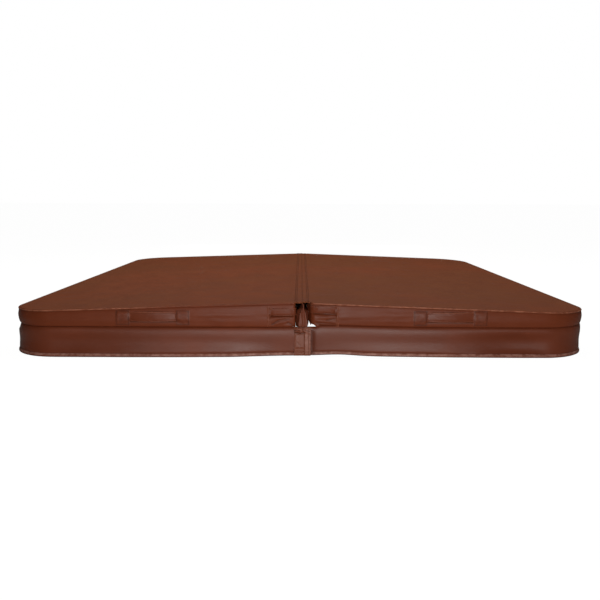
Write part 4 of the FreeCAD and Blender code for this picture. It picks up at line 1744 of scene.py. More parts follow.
    def face(self, x: Array, z: Array, end: End) -> Array:
        """Places on the sheet's outer face at the front or back.

        Args:
            x: Where across the cover.
            z: Heights in metres.
            end: Front or back.

        Returns:
            How far from the middle of the cover the face lies, along Y, at each x and z.
        """
        section = np.array(self.SECTION)[self.OUTER_FACE]
        plan = np.column_stack([self.side.value * x, np.full(len(x), end.value * self.inset_reach)])
        normals = np.tile([0.0, end.value], (len(x), 1))
        rows = self.drape(plan, normals, section)
        return np.array([np.interp(z, row[::-1, 2], np.abs(row[::-1, 1])) for row in rows])


@dataclass
class SkirtFlap:
    """The flap that closes the skirt over the fold, with its hook patch stitched through."""

    end: End
    vinyl: Material
    pile: Material
    skirt: Skirt
    low: Vector = field(init=False)
    high: Vector = field(init=False)
    sheet: float = 2.2 * MM
    overhang: float = 5.0 * MM
    hem_start: float = 13.5 * MM
    hem_proud: float = 1.6 * MM
    patch_x: Range = (-24.0 * MM, 11.0 * MM)
    patch_z: Range = (36.0 * MM, 92.0 * MM)
    patch_proud: float = 1.3 * MM
    patch_rim: float = 3.0 * MM
    seam_inset: float = 2.0 * MM
    hem_seam: float = 15.3 * MM
    hem_seam_z: Range = (6.0 * MM, 116.0 * MM)
    turned_top: float = 1.6 * MM
    top_bulge: float = 6.0 * MM
    bulge_from: Range = (0.090, 0.108)
    bulge_to: Range = (0.130, 0.118)
    flare: float = 6.0 * MM
    flare_run: Range = (0.108, 0.030)
    edge_round: float = 2.4 * MM
    steps: tuple[int, int] = (52, 72)
    bend_width: float = 14.0 * MM
    skirt_top: float = 0.122

    # Folds of the gathered top, and the groove of the hem's stitches; their dents are also darkened as
    # painted shade
    CREASES = (
        Crease((-36.0, 103.0), (-8.0, 97.5), 3.4, 3.2),
        Crease((-8.0, 97.5), (14.0, 99.0), 2.8, 2.6),
        Crease((-30.0, 112.0), (-6.0, 109.0), 2.2, 2.2),
        Crease((4.0, 122.0), (8.0, 104.0), 2.0, 2.0),
        Crease((16.0, 112.0), (34.0, 104.0), 1.6, 2.4),
        Crease((-26.0, 106.5), (10.0, 104.0), -2.4, 3.0),
        Crease((-22.0, 118.0), (14.0, 117.0), -2.0, 3.0),
        Crease((29.0, 4.0), (28.6, 118.0), 1.2, 1.3),
        Crease((12.2, 4.0), (12.0, 96.0), 0.9, 1.1),
        Crease((-18.0, 60.0), (-6.0, 44.0), 0.5, 3.0),
    )

    # Each tape's points across and upwards, and the size of its hooks or loops in millimetres
    HOOKS = (29, 61, 2.1)
    LOOPS = (25, 51, 3.4)

    def __post_init__(self) -> None:
        """Reads the flap's place from the frame."""
        self.low, self.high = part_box(f"skirt_flap_{self.end.label}")

    def bend_line(self) -> tuple[Sequence[float], Sequence[float]]:
        """Where the flap starts and stops bending when it opens, beside its seam."""
        y, z = self.end.value * abs(self.low.y), (self.low.z + self.high.z) / 2
        return (self.low.x, y, z), (self.low.x + self.bend_width, y, z)

    def _placed(self, x: Array, z: Array, depth: Array) -> Array:
        """Points of a grid at a depth of the flap, drawn up with the skirt's hem."""
        lift = self._rise(x)[:, None] * np.clip(1.0 - z / (self.high.z + self.turned_top), 0.0, 1.0)[None, :]
        return grid_of(x[:, None], self.end.value * depth, z[None, :] + lift)

    def _rise(self, x: Array) -> Array:
        """How far the skirt's hem is drawn up at places across the flap."""
        return self.skirt.rise(np.column_stack([-x, np.full(len(x), -1.0)]))

    def hook_tape(self) -> Piece:
        """Makes the hook tape sewn to the flap's inner face, behind the stitched rectangle.

        Returns:
            The tape.
        """
        x, z, swell = self._tape_grid(*self.HOOKS)
        inner = self._face(x, z) - self.sheet - self.patch_proud * 0.5
        sewn, pile = (self._placed(x, z, depth) for depth in (inner + 0.3 * MM, inner - swell))
        return self._tape("hook_tape", sewn, pile)

    def loop_tape(self, under: Skirt) -> Piece:
        """Makes the loop tape sewn to the other half's skirt, under the flap.

        Args:
            under: That skirt.

        Returns:
            The tape.
        """
        x, z, swell = self._tape_grid(*self.LOOPS)
        face = under.face(x, z, self.end)
        steps = (-0.3 * MM, 0.7 * swell)
        points = [grid_of(x[:, None], self.end.value * (face + step), z[None, :]) for step in steps]
        return self._tape("loop_tape", *points)

    def _tape_grid(self, across: int, up: int, size: float) -> tuple[Array, Array, Array]:
        """Lays out a tape behind the stitched rectangle.

        Args:
            across: How many points it has across.
            up: How many it has upwards.
            size: The size of its hooks or loops, in millimetres.

        Returns:
            Its places across, its heights and how thick its pile is at each.
        """
        margin = 1.5 * MM
        x = np.linspace(self.low.x + self.bend_width + 0.5 * MM, self.patch_x[1] - margin, across)
        z = np.linspace(self.patch_z[0] + margin, self.patch_z[1] - margin, up)
        spots = grid_of(x[:, None], self.end.value, z[None, :])
        fuzz = 0.12 * lumps(spots, (size * MM, 1.0, 1.1 * size * MM), size)
        return x, z, (0.5 + fuzz + 0.5 * soft_step(0.0, 1.4 * MM, border_distance(x, z))) * MM

    def _tape(self, name: str, sewn: Array, pile: Array) -> Piece:
        """Makes a tape from its sewn face and its pile.

        Args:
            name: The tape's name, before the end's.
            sewn: Points of the face that is sewn down.
            pile: Points of the face with the hooks or loops.

        Returns:
            The tape.
        """
        sketch = Sketch(f"{name}_{self.end.label}")
        sketch.slab(sketch.add(sewn), sketch.add(pile))
        return sketch.make([self.pile], crease=60.0)

    def _face(self, x: Array, z: Array) -> Array:
        """How far out the flap's outer face lies at each x and z of a grid.

        Args:
            x: Places across the flap.
            z: Heights.

        Returns:
            The distance at each point of the grid.
        """
        base = self.skirt.face(np.minimum(x, -0.030), z, self.end)
        across, up = x[:, None], z[None, :]
        rim = self.patch_rim
        patch = self.patch_proud
        for (low, high), place in ((self.patch_x, across), (self.patch_z, up)):
            patch = patch * soft_step(low - rim, low, place) * soft_step(high + rim, high, place)
        hem = self.hem_proud * soft_step(self.hem_start - rim / 2, self.hem_start, across)
        near_top = soft_step(*self.bulge_from, up) * soft_step(*self.bulge_to, up)
        bulge = self.top_bulge * near_top * (0.75 + 0.25 * np.cos((across + 0.006) * 95.0))
        pressed, _ = creased(self.CREASES, *np.broadcast_arrays(across, up))
        flare = self.flare * soft_step(*self.flare_run, up)
        return base + 0.6 * MM + patch + hem + bulge + flare - pressed

    def build(self) -> Piece:
        """Makes the flap.

        Returns:
            The flap.
        """
        low, high = self.low, self.high
        x = np.linspace(low.x, high.x + self.overhang, self.steps[0])
        z = np.linspace(low.z + 0.3 * MM, high.z + self.turned_top, self.steps[1])
        depth = self._face(x, z)
        edge = border_distance(x, z)
        rounding = 1.0 * MM * (1.0 - soft_step(0.0, self.edge_round, edge))
        inner = depth - self.sheet - self.patch_proud * 0.5 + rounding * 0.4
        sketch = Sketch(f"closing_flap_{self.end.label}")
        # Edges and the hem strip are lightened as painted highlight with scuffing; folds and grooves are
        # darkened as painted shade
        on_hem = 0.35 * soft_step(self.hem_start - 1.0 * MM, self.hem_start + 2.0 * MM, x)[:, None]
        wear = np.maximum(np.clip(1.0 - edge / self.edge_round, 0.0, 1.0) * 0.9, on_hem)
        _, dirt_and_shade = creased(self.CREASES, *np.broadcast_arrays(x[:, None], z[None, :]))
        front = sketch.add(self._placed(x, z, depth - rounding), wear, dirt_and_shade)
        sketch.slab(front, sketch.add(self._placed(x, z, inner)))
        made = sketch.make([self.vinyl], crease=70.0)
        return made

    def seams(self) -> list[tuple[Array, Place]]:
        """Lines of the flap's stitches: round the hook patch, and along the hem.

        Returns:
            For each line, its points and the way the flap faces there.
        """
        hem = stepped([(self.hem_start + self.hem_seam, z) for z in self.hem_seam_z], 2.0 * MM)
        box = stitch_box(self.patch_x, self.patch_z, self.seam_inset, 2.0 * MM)
        found = []
        for spots in (box, hem):
            y = np.array([self._face(spot[:1], spot[1:])[0, 0] for spot in spots])
            height = spots[:, 1] + self._rise(spots[:, 0]) * (1.0 - spots[:, 1] / self.skirt_top)
            points = np.column_stack([spots[:, 0], self.end.value * y, height])
            found.append((points, (0.0, self.end.value, 0.0)))
        return found


# ---------------------------------------------------------------------------------------------------------
# Hinge strip and heat seal


@dataclass
class HingeStrip:
    """The reinforced vinyl strip sewn over the fold, which bends as the cover folds."""

    vinyl: Material
    jacket: Jacket
    left: float = -31.0 * MM
    right: float = 34.0 * MM
    thickness: float = 1.5 * MM
    sag: float = 1.6 * MM
    set_back: float = 14.0 * MM
    seams: tuple[float, ...] = (-0.0195, -0.0262, 0.0030, 0.0228, 0.0295)
    spacing: float = 12.0 * MM
    gap: Range = (24.0 * MM, 10.0 * MM)
    stitch_dip: float = 0.7 * MM
    stitch_reach: float = 1.186
    bend_reach: float = 6.0 * MM
    bend_height: float = 225.2 * MM

    def bend_line(self) -> tuple[Place, Place]:
        """Where the strip starts and stops bending over the fold."""
        return (-self.bend_reach, 0.0, self.bend_height), (self.bend_reach, 0.0, self.bend_height)

    def _section(self) -> Array:
        """Places across the strip, close together at its edges and seams.

        Returns:
            The places in order.
        """
        marks = [self.left, self.right, *self.seams]
        near = [mark + step * MM for mark in marks for step in (-2.2, -0.9, 0.0, 0.9, 2.2)]
        even = list(np.linspace(self.left, self.right, 20))
        inside = sorted(x for x in near + even if self.left <= x <= self.right)
        kept = [inside[0]]
        for x in inside[1:]:
            if x - kept[-1] > 0.45 * MM:
                kept.append(x)
        return np.array(kept)

    def _height(self, x: Array) -> Array:
        """Height of the strip's upper face across the fold.

        Args:
            x: Places across the fold.

        Returns:
            The height at each place.
        """
        edge = np.minimum(x - self.left, self.right - x)
        height = self.jacket.plane(x) + (0.5 + 1.1 * soft_step(0.0, 1.6 * MM, edge)) * MM
        for seam in self.seams:
            height = height - self.stitch_dip * hump(x, seam, 0.8 * MM)
        return height - self.sag * soft_step(*self.gap, np.abs(x)) * (1.0 - 0.8 * hump(x, 3.0 * MM, 5.0 * MM))

    def build(self) -> Piece:
        """Makes the strip.

        Returns:
            The strip, not yet bent across the fold.
        """
        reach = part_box("hinge_leaf_right")[1].y
        y = np.linspace(-reach, reach, int(2 * reach / self.spacing))
        y = np.concatenate([[-reach - 1.4 * MM, -reach - 0.9 * MM], y, [reach + 0.9 * MM, reach + 1.4 * MM]])
        x = self._section()
        free = soft_step(22.0 * MM, 8.0 * MM, np.abs(x))[None, :]
        dents = lumps(grid_of(x[None, :], y[:, None], 0.0), (0.03, 0.11, 1.0), 4.4)
        height = self._height(x)[None, :] + 0.5 * MM * free * dents
        for row, drop in ((0, 3.0), (1, 0.9), (-2, 0.9), (-1, 3.0)):
            height[row] -= drop * MM
        top = grid_of(x[None, :], y[:, None], height)
        near_end = hump(np.abs(y), reach, 55.0 * MM)[:, None]
        top[..., 1] -= np.sign(y)[:, None] * self.set_back * near_end * soft_step(0.0, 14.0 * MM, x)[None, :]
        under = top.copy()
        under[..., 2] -= self.thickness
        under[:, 0, 0] += 0.3 * MM
        sketch = Sketch("hinge_strip")
        # Edges are lightened as scuffing with painted highlight, and the stitched seams darkened as painted
        # shade
        edge = np.minimum(x - self.left, self.right - x)
        wear = np.clip(1.0 - edge / (2.2 * MM), 0.0, 1.0) * 0.9
        soil = sum(0.7 * hump(x, seam, 1.1 * MM) for seam in self.seams)
        sketch.slab(sketch.add(top, wear[None], np.clip(soil, 0, 1)[None]), sketch.add(under))
        made = sketch.make([self.vinyl], crease=70.0)
        return made

    def seam_lines(self) -> list[tuple[float, Array]]:
        """Each seam's place across the fold, and its line.

        Returns:
            The place and the line of each seam.
        """
        y = np.linspace(-self.stitch_reach, self.stitch_reach, 240)
        heights = self._height(np.array(self.seams)) + 0.35 * MM
        return [(seam, grid_of(seam, y, height)) for seam, height in zip(self.seams, heights)]


@dataclass
class HeatSeal:
    """The padded seal in the fold: a foam strip in a soft sleeve, hung from the hinge by a stem.

    It fills the space between the two fold walls, and narrows at its gathered ends.
    """

    vinyl: Material
    jackets: dict[Side, Jacket]
    shift: float = 5.0 * MM
    lean: float = 8.0 * MM
    fill_run: Range = (3.0 * MM, 34.0 * MM)
    stem: Range = (224.0 * MM, 214.0 * MM)
    shoulder: Range = (212.0 * MM, 190.0 * MM)
    packed: Range = (210.0 * MM, 199.0 * MM)
    wall: float = 24.6 * MM
    base: float = 121.0 * MM
    base_rise: float = 24.0 * MM
    rise_run: Range = (170.0 * MM, 60.0 * MM)
    gathered: Range = (34.0 * MM, 8.0 * MM)
    end_spine: Range = (136.0 * MM, 214.0 * MM)
    spacing: float = 12.0 * MM
    end_folds: float = 2.4 * MM

    # The sleeve's section from its lowest point round to it again: place across the fold and height, in
    # millimetres
    SECTION = (
        (0.0, 121.2), (9.0, 121.3), (15.0, 121.8), (18.6, 124.4), (19.0, 131.0), (17.6, 142.0), (15.6, 154.0),
        (13.4, 166.0), (11.4, 176.0), (9.4, 184.0), (7.0, 190.0), (4.4, 195.0), (3.0, 203.0), (2.4, 213.0),
        (2.0, 221.6), (-1.8, 221.6), (-2.0, 213.0), (-2.4, 203.0), (-3.8, 195.0), (-6.2, 190.0),
        (-8.6, 184.0), (-11.0, 176.0), (-13.2, 166.0), (-15.4, 154.0), (-17.4, 142.0), (-18.8, 131.0),
        (-18.4, 124.4), (-14.6, 121.8), (-8.4, 121.3),
    )

    def build(self) -> Piece:
        """Makes the seal with its two gathered ends.

        Returns:
            The seal.
        """
        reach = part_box("heat_seal_sleeve")[1].y
        section = np.array(self.SECTION) * MM
        fine = np.array([0.0, 2.0, 4.0, 7.0, 10.0, 14.0, 18.0, 22.0, 27.0, 32.0, 38.0, 45.0, 54.0]) * MM
        inner = np.linspace(-reach + 64.0 * MM, reach - 64.0 * MM, int(2 * reach / self.spacing))
        y = np.concatenate([-reach + fine, inner, (reach - fine)[::-1]])
        points = grid_of(section[None, :, 0], y[:, None], section[None, :, 1])
        depth = reach - np.abs(points[..., 1])
        body = soft_step(*self.shoulder, points[..., 2])
        side = np.clip(points[..., 0] / (9.0 * MM), -1.0, 1.0)
        filled = soft_step(*self.fill_run, depth)
        opened = self.jackets[Side.RIGHT].wall(points[..., 1]) * (side > 0)
        wall = (self.wall + opened) * side * soft_step(*self.packed, points[..., 2])
        points[..., 0] += body * self.shift * (1.0 - filled)
        leaning = self.lean * (1.0 - body) * (1.0 - filled)
        points[..., 0] += leaning * soft_step(*self.stem, points[..., 2])
        share = filled * body
        points[..., 0] = np.where(body > 0.02, points[..., 0] * (1.0 - share) + wall * share, points[..., 0])
        hollow = self.base + self.base_rise * soft_step(*self.rise_run, depth)
        right = np.clip((side - 0.5) / 0.5, 0.0, 1.0)
        points[..., 2] += filled * right * np.maximum(hollow - points[..., 2], 0.0)
        soft = lumps(points, (0.03, 0.05, 0.02), 31.0)
        near_end = soft_step(*self.gathered, depth)
        points[..., 0] += body * near_end * 1.8 * MM * soft
        pleats = np.sin(points[..., 2] * 420.0 + 14.0 * soft) * near_end * body
        points[..., 0] += 0.7 * MM * pleats * np.sign(side)
        sketch = Sketch("heat_seal_cushion")
        rows = sketch.add(points)
        sketch.skin(rows, closed=True)
        for row, sign in ((0, -1.0), (-1, 1.0)):
            self._close_end(sketch, rows[row], points[row], sign)
        return sketch.make([self.vinyl], crease=70.0)

    def _close_end(self, sketch: Sketch, ring: Array, points: Array, sign: float) -> None:
        """Closes one end of the sleeve with gathered vinyl.

        Args:
            sketch: The seal's sketch.
            ring: The point numbers of the sleeve's last row.
            points: Those points.
            sign: Which way the end faces along Y.
        """
        spine = points.copy()
        spine[:, 0] = points[:, 0].mean()
        spine[:, 2] = np.clip(points[:, 2], *self.end_spine)
        previous = ring
        for share in (0.9, 0.76, 0.58, 0.38, 0.18, 0.06):
            shrunk = spine + (points - spine) * share
            across = (shrunk[:, 0] - spine[:, 0]) / (10.0 * MM)
            rise = (shrunk[:, 2] - 160.0 * MM) / (16.0 * MM)
            fold = np.sin(across * 3.4 + 0.9 + 0.8 * np.sin(rise * 1.7)) * (1.0 - share) ** 0.4
            dome = 3.0 * MM * (1.0 - share**2)
            shrunk[:, 1] = points[:, 1] + sign * (dome + self.end_folds * fold)
            following = sketch.add(shrunk)
            sketch.skin([previous, following], closed=True)
            previous = following
        sketch.cap(previous)


# ---------------------------------------------------------------------------------------------------------
# Handles


def strap_section(width: float, thickness: float, roll: float) -> Array:
    """The section of a turned-edge strap.

    Args:
        width: From edge to edge, in metres.
        thickness: In the middle, in metres.
        roll: How much thicker the turned edges are, in metres.

    Returns:
        Points of the section: outward and upward from its middle.
    """
    half = width / 2
    steps = np.array([0.3, 0.62, 0.72, 0.83, 0.93, 0.985, 1.0])
    ups = half * np.concatenate([-steps[::-1], [0.0], steps])
    share = np.abs(ups) / half
    full = thickness / 2 + roll * soft_step(0.66, 0.78, share)
    full = full * np.sqrt(np.clip(1.0 - np.clip((share - 0.9) / 0.1, 0, 1) ** 2.4, 0.02, 1.0))
    outer = np.column_stack([full, ups])
    inner = np.column_stack([-0.55 * full - 0.2 * thickness, ups])[::-1]
    return np.concatenate([outer, inner])


@dataclass
class Strap:
    """A strap of folded vinyl swept along a line in plan."""

    name: str
    vinyl: Material
    line: Array
    middle_z: float
    width: float = 38.0 * MM
    thickness: float = 3.0 * MM
    roll: float = 1.0 * MM
    lean: Array | None = None
    creases: float = 0.5 * MM
    seed: float = 2.0

    def _rows(self) -> Pair:
        """The strap's rows of points, and the outward direction in plan at each row.

        Returns:
            The points and the directions.
        """
        heading = unit(np.gradient(self.line, axis=0))
        outward = np.column_stack([heading[:, 1], -heading[:, 0]])
        section = strap_section(self.width, self.thickness, self.roll)
        lean = np.zeros(len(self.line)) if self.lean is None else self.lean
        offset = section[None, :, 0] + lean[:, None] * (-section[None, :, 1]) / (self.width / 2)
        plan = self.line[:, None, :] + outward[:, None, :] * offset[..., None]
        z = self.middle_z + np.broadcast_to(section[:, 1], plan.shape[:2])
        points = np.concatenate([plan, z[..., None]], axis=-1)
        rough = self.creases * lumps(points, (0.018, 0.018, 0.012), self.seed)
        points[..., :2] += outward[:, None, :] * rough[..., None]
        return points, outward

    def build(self) -> Piece:
        """Makes the strap.

        Returns:
            The strap.
        """
        points, _ = self._rows()
        share = np.abs(strap_section(self.width, self.thickness, self.roll)[:, 1]) / (self.width / 2)
        sketch = Sketch(self.name)
        # The turned edges are lightened as painted highlight with scuffing
        sketch.tube(sketch.add(points, soft_step(0.8, 0.97, share)[None] * 0.9))
        return sketch.make([self.vinyl], crease=60.0)

    def sew_edges(self, thimble: Thimble, short: int) -> None:
        """Sews a row of stitches along each edge of the strap's outer face.

        Args:
            thimble: Takes the stitches.
            short: How many of the strap's steps the rows leave free at either end.
        """
        points, outward = self._rows()
        facing = grid_of(outward[:, 0], outward[:, 1], 0.0)
        for index in (4, 10):
            thimble.sew(points[short:-short, index], facing[short:-short])


@dataclass
class Fitting:
    """What the handles and tie-down straps share: their place, read from the frame."""

    side: Side
    end: End
    node: str = field(init=False)
    low: Vector = field(init=False)
    high: Vector = field(init=False)

    KIND = ""

    def __post_init__(self) -> None:
        """Finds the fitting's node."""
        self.node = f"{self.KIND}_{self.end.label}_{self.side.label}"
        self.low, self.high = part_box(self.node)


@dataclass
class CarryHandle(Fitting):
    """The carrying handle at the middle of one half, on one end: two stitched patches and a bowed strap."""

    jacket: Jacket
    vinyl: Material
    patch_width: float = 58.0 * MM
    patch_z: Range = (128.0 * MM, 194.0 * MM)
    patch_proud: float = 2.4 * MM
    patch_steps: int = 17
    patch_seam: float = 4.5 * MM
    over_strap: Range = (24.0 * MM, 17.0 * MM)
    groove: float = 0.55 * MM
    wrinkle: float = 1.4 * MM

    KIND = "outer_handle"

    def strap(self) -> Strap:
        """The strap between the patches, bowed outwards and tipped a little up.

        Returns:
            The strap.
        """
        x = np.linspace(self.low.x - 1.0 * MM, self.high.x + 1.0 * MM, 41)
        share = np.linspace(-1.0, 1.0, 41)
        inner = min(abs(self.low.y), abs(self.high.y)) + 1.5 * MM
        bow = (abs(abs(self.high.y) - abs(self.low.y)) - 3.0 * MM) * (1.0 - share**2)
        line = np.column_stack([x, self.end.value * (inner + bow)])
        if self.end is End.BACK:
            line = line[::-1]
        lean = 4.0 * MM * (1.0 - share**4)
        return Strap(
            f"handle_strap_{self.end.label}_{self.side.label}",
            self.vinyl,
            line,
            (self.low.z + self.high.z) / 2,
            lean=lean,
            seed=2.0 + self.end.value + 0.3 * self.side.value,
        )

    def add_patches(self, sketch: Sketch, thimble: Thimble) -> None:
        """Adds the two patches that hold the strap's ends.

        Args:
            sketch: The sketch that the patches join.
            thimble: Takes the patches' stitches.
        """
        inner_x, outer_x = sorted((abs(self.low.x), abs(self.high.x)))
        for start in (inner_x - self.patch_width, outer_x):
            self._patch(sketch, thimble, (start, start + self.patch_width))

    def _patch(self, sketch: Sketch, thimble: Thimble, across: Range) -> None:
        """Adds one patch, swollen over the strap's end, with a stitched border.

        Args:
            sketch: The sketch that the patch joins.
            thimble: Takes the stitches.
            across: Its two sides, as distances from the fold.
        """
        side, end = self.side.value, self.end.value
        share = 0.5 - 0.5 * np.cos(math.pi * np.linspace(0.0, 1.0, self.patch_steps))
        x = across[0] + share * (across[1] - across[0])
        z = self.patch_z[0] + share * (self.patch_z[1] - self.patch_z[0])
        base = np.array([self.jacket.band_reach(one, z, self.end) for one in x])
        edge = border_distance(x, z)
        middle = np.abs(z - (self.low.z + self.high.z) / 2)
        over_strap = soft_step(*self.over_strap, middle)[None, :] * soft_step(2.0 * MM, 9.0 * MM, edge)
        swell = self.patch_proud * (0.25 + 0.3 * soft_step(0.0, 2.0 * MM, edge) + 0.45 * over_strap)
        groove = -self.groove * hump(edge, self.patch_seam, 1.1 * MM)
        spots = grid_of(x[:, None], end, z[None, :])
        wrinkle = self.wrinkle * lumps(spots, (0.016, 1.0, 0.008), 5.0 + side + 2 * end)
        outer = base + swell + groove + wrinkle * soft_step(0.0, 6.0 * MM, edge)
        # Edges are lightened a little as scuffing and painted highlight; the stitch groove and wrinkle
        # hollows are darkened as painted shade
        wear = np.clip(1.0 - edge / (2.5 * MM), 0, 1) * 0.2
        dirt_and_shade = 0.6 * hump(edge, self.patch_seam, 1.8 * MM) + 0.4 * np.clip(-wrinkle / MM, 0.0, 1.0)
        faces = [
            sketch.add(grid_of(side * x[:, None], end * depth, z[None, :]), wear, dirt_and_shade)
            for depth in (outer, base - 1.0 * MM)
        ]
        sketch.slab(*faces)
        spots = stitch_box(across, self.patch_z, self.patch_seam, 3.0 * MM)
        y = [self.jacket.band_reach(spot[0], spot[1:], self.end)[0] for spot in spots]
        proud = np.array(y) + 0.45 * self.patch_proud
        thimble.sew(grid_of(side * spots[:, 0], end * proud, spots[:, 1]), (0.0, end, 0.0))


@dataclass
class FoldHandle(Fitting):
    """The short handle beside the fold: sewn into the band's seam, bowed, and turned round the corner."""

    jacket: Jacket
    vinyl: Material
    width: float = 28.0 * MM
    tab: float = 6.0 * MM
    bow: float = 4.4 * MM
    gap: float = 0.4 * MM
    thickness: float = 3.2 * MM
    proud: float = 3.4 * MM

    KIND = "fold_handle"

    # How many points the strap's middle line has along the fold, round each turn, and along each end
    ROUTE_STEPS = (22, 8, 6)

    # The lap seam's distance from the fold, and how much higher the strap sits than its node
    SEAMS = {Side.LEFT: 132.0 * MM, Side.RIGHT: 144.0 * MM}
    RAISED = {Side.LEFT: -2.0 * MM, Side.RIGHT: 7.5 * MM}

    def strap(self) -> Strap:
        """The strap from its tab beside the seam round the corner to its tail on the fold wall.

        Returns:
            The strap.
        """
        far = self.SEAMS[self.side] - 3.0 * MM
        near = self.jacket.near + self.jacket.opened
        reach = self.jacket.outline.reach + self.proud
        half = self.thickness / 2 + self.gap
        corner = self.jacket.fold_radius
        corner_x, corner_y = near + corner, reach - self.proud - corner
        tail = min(abs(self.low.y), abs(self.high.y))
        bow_steps, turn_steps, end_steps = self.ROUTE_STEPS
        bowed = np.linspace(far - self.tab, corner_x, bow_steps)[1:]
        bow = self.bow * (1.0 - np.linspace(-1.0, 1.0, bow_steps)[1:] ** 4)
        points = [(x, reach + half) for x in np.linspace(far, far - self.tab, end_steps)]
        points += [(x, reach + half + out) for x, out in zip(bowed, bow)]
        for turn in np.radians(np.linspace(0.0, 90.0, turn_steps)[1:]):
            out = corner + half + self.proud * math.cos(turn)
            points.append((corner_x - (corner + half) * math.sin(turn), corner_y + out * math.cos(turn)))
        for y in np.linspace(corner_y, tail, end_steps)[1:]:
            points.append((self.jacket.near + float(self.jacket.wall(y)) - half, y))
        points = np.array(points)
        lean = 3.4 * MM * soft_step(0.0, 12.0 * MM, far - self.tab - points[:, 0])
        lean = lean * soft_step(near - 2.0 * MM, near + 14.0 * MM, points[:, 0])
        line = points * np.array([self.side.value, self.end.value])
        if self.side.value * self.end.value < 0:
            line, lean = line[::-1], lean[::-1]
        return Strap(
            f"fold_strap_{self.end.label}_{self.side.label}",
            self.vinyl,
            line,
            (self.low.z + self.high.z) / 2 + self.RAISED[self.side],
            width=self.width,
            lean=lean,
            thickness=self.thickness,
            creases=0.8 * MM,
            seed=6.0 + self.end.value + 0.3 * self.side.value,
        )


@dataclass
class LapSeam:
    """The upright lap seam in the band, beside a fold handle, with two rows of stitches."""

    side: Side
    end: End
    place: float
    jacket: Jacket
    width: float = 13.0 * MM
    proud: float = 1.3 * MM
    below_welt: float = 10.5 * MM
    steps: int = 26
    backing: float = 1.4 * MM

    def add(self, sketch: Sketch, thimble: Thimble) -> None:
        """Adds the lap and its stitches.

        Args:
            sketch: The sketch that the lap joins.
            thimble: Takes the stitches.
        """
        top = self.jacket.top - self.below_welt - self.jacket.slope * (self.place - self.jacket.near)
        z = np.linspace(self.jacket.bottom + 2.0 * MM, top, self.steps)
        across = np.array([-0.5, -0.46, -0.3, -0.1, 0.1, 0.3, 0.42, 0.5]) * self.width
        raised = np.array([-0.6, 0.25, 0.8, 0.95, 1.0, 1.05, 0.75, -0.6]) * self.proud
        # The lap is lightened a little, and more on its turned edges, as painted highlight with scuffing
        wear = (0.15 + 0.5 * (np.abs(across) > 0.4 * self.width))[:, None]
        faces = []
        for depth in (raised, np.full(len(raised), -self.backing)):
            rows = [self._column(step, out, z) for step, out in zip(across, depth)]
            faces.append(sketch.add(np.array(rows), wear))
        sketch.slab(*faces)
        for step in (-0.24, 0.24):
            thimble.sew(self._column(step * self.width, self.proud, z), (0.0, self.end.value, 0.0))

    def _column(self, step: float, out: float, z: Array) -> Array:
        """Points up the band at a step beside the seam's middle, standing some way out."""
        y = self.jacket.band_reach(self.place + step, z, self.end) + out
        return grid_of(self.side.value * (self.place + step), self.end.value * y, z)


@dataclass
class Underside:
    """The vinyl panel under one half, welded round its border."""

    side: Side
    vinyl: Material
    jacket: Jacket
    thickness: float = 0.9 * MM
    fold_radius: float = 8.0 * MM
    corner_radius: float = 181.0 * MM
    welds: tuple[float, ...] = (9.0, 13.0)
    rows: tuple[float, ...] = (0.0, 4.0, 7.6, 9.0, 10.4, 13.0, 15.0)
    border: float = 16.0 * MM
    steps: Range = (4.0 * MM, 22.0 * MM)
    weld_depth: float = 0.35 * MM

    def build(self) -> Piece:
        """Makes the panel.

        Returns:
            The panel.
        """
        low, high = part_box(f"bottom_panel_{self.side.label}")
        near, far = sorted((abs(low.x), abs(high.x)))
        outline = HalfOutline(near + 0.4 * MM, far, high.y, self.fold_radius, self.corner_radius)
        shares = [graded(length, *self.steps) for length in (far - near, 2 * high.y)]
        rows_down, rows_up = [], []
        sketch = Sketch(f"underside_{self.side.label}")
        for inset in self.rows:
            inner, _ = outline.drawn_in(inset * MM, inset * MM).loop(*shares)
            # Weld grooves are darkened in proportion to their depth, as painted shade with grime
            groove = self.weld_depth if inset in self.welds else 0.0
            base = low.z + 0.1 * MM + self.jacket.lift(inner)
            rows_down.append(sketch.add(self.jacket.placed(inner, base + groove), 0.0, groove * 1500))
            rows_up.append(sketch.add(self.jacket.placed(inner, base + self.thickness)))
        sketch.skin(rows_down, closed=True)
        sketch.skin(rows_up, closed=True)
        sketch.skin([rows_down[0], rows_up[0]], closed=True)
        inner, _ = outline.drawn_in(self.border, self.border).loop(*shares)
        plan = patch_inside(inner, shares)
        spots = grid_of(plan[..., 0], plan[..., 1], 0.0)
        soft = 0.5 * MM * lumps(spots, (0.22, 0.22, 1.0), 14.0 + self.side.value)
        base = low.z + 0.3 * MM + np.abs(soft) + self.jacket.lift(plan)
        down = sketch.add(self.jacket.placed(plan, base))
        up = sketch.add(self.jacket.placed(plan, base + self.thickness))
        sketch.skin(down)
        sketch.skin(up)
        sketch.skin([rows_down[-1], grid_ring(down)], closed=True)
        sketch.skin([rows_up[-1], grid_ring(up)], closed=True)
        made = sketch.make([self.vinyl], crease=60.0)
        return made


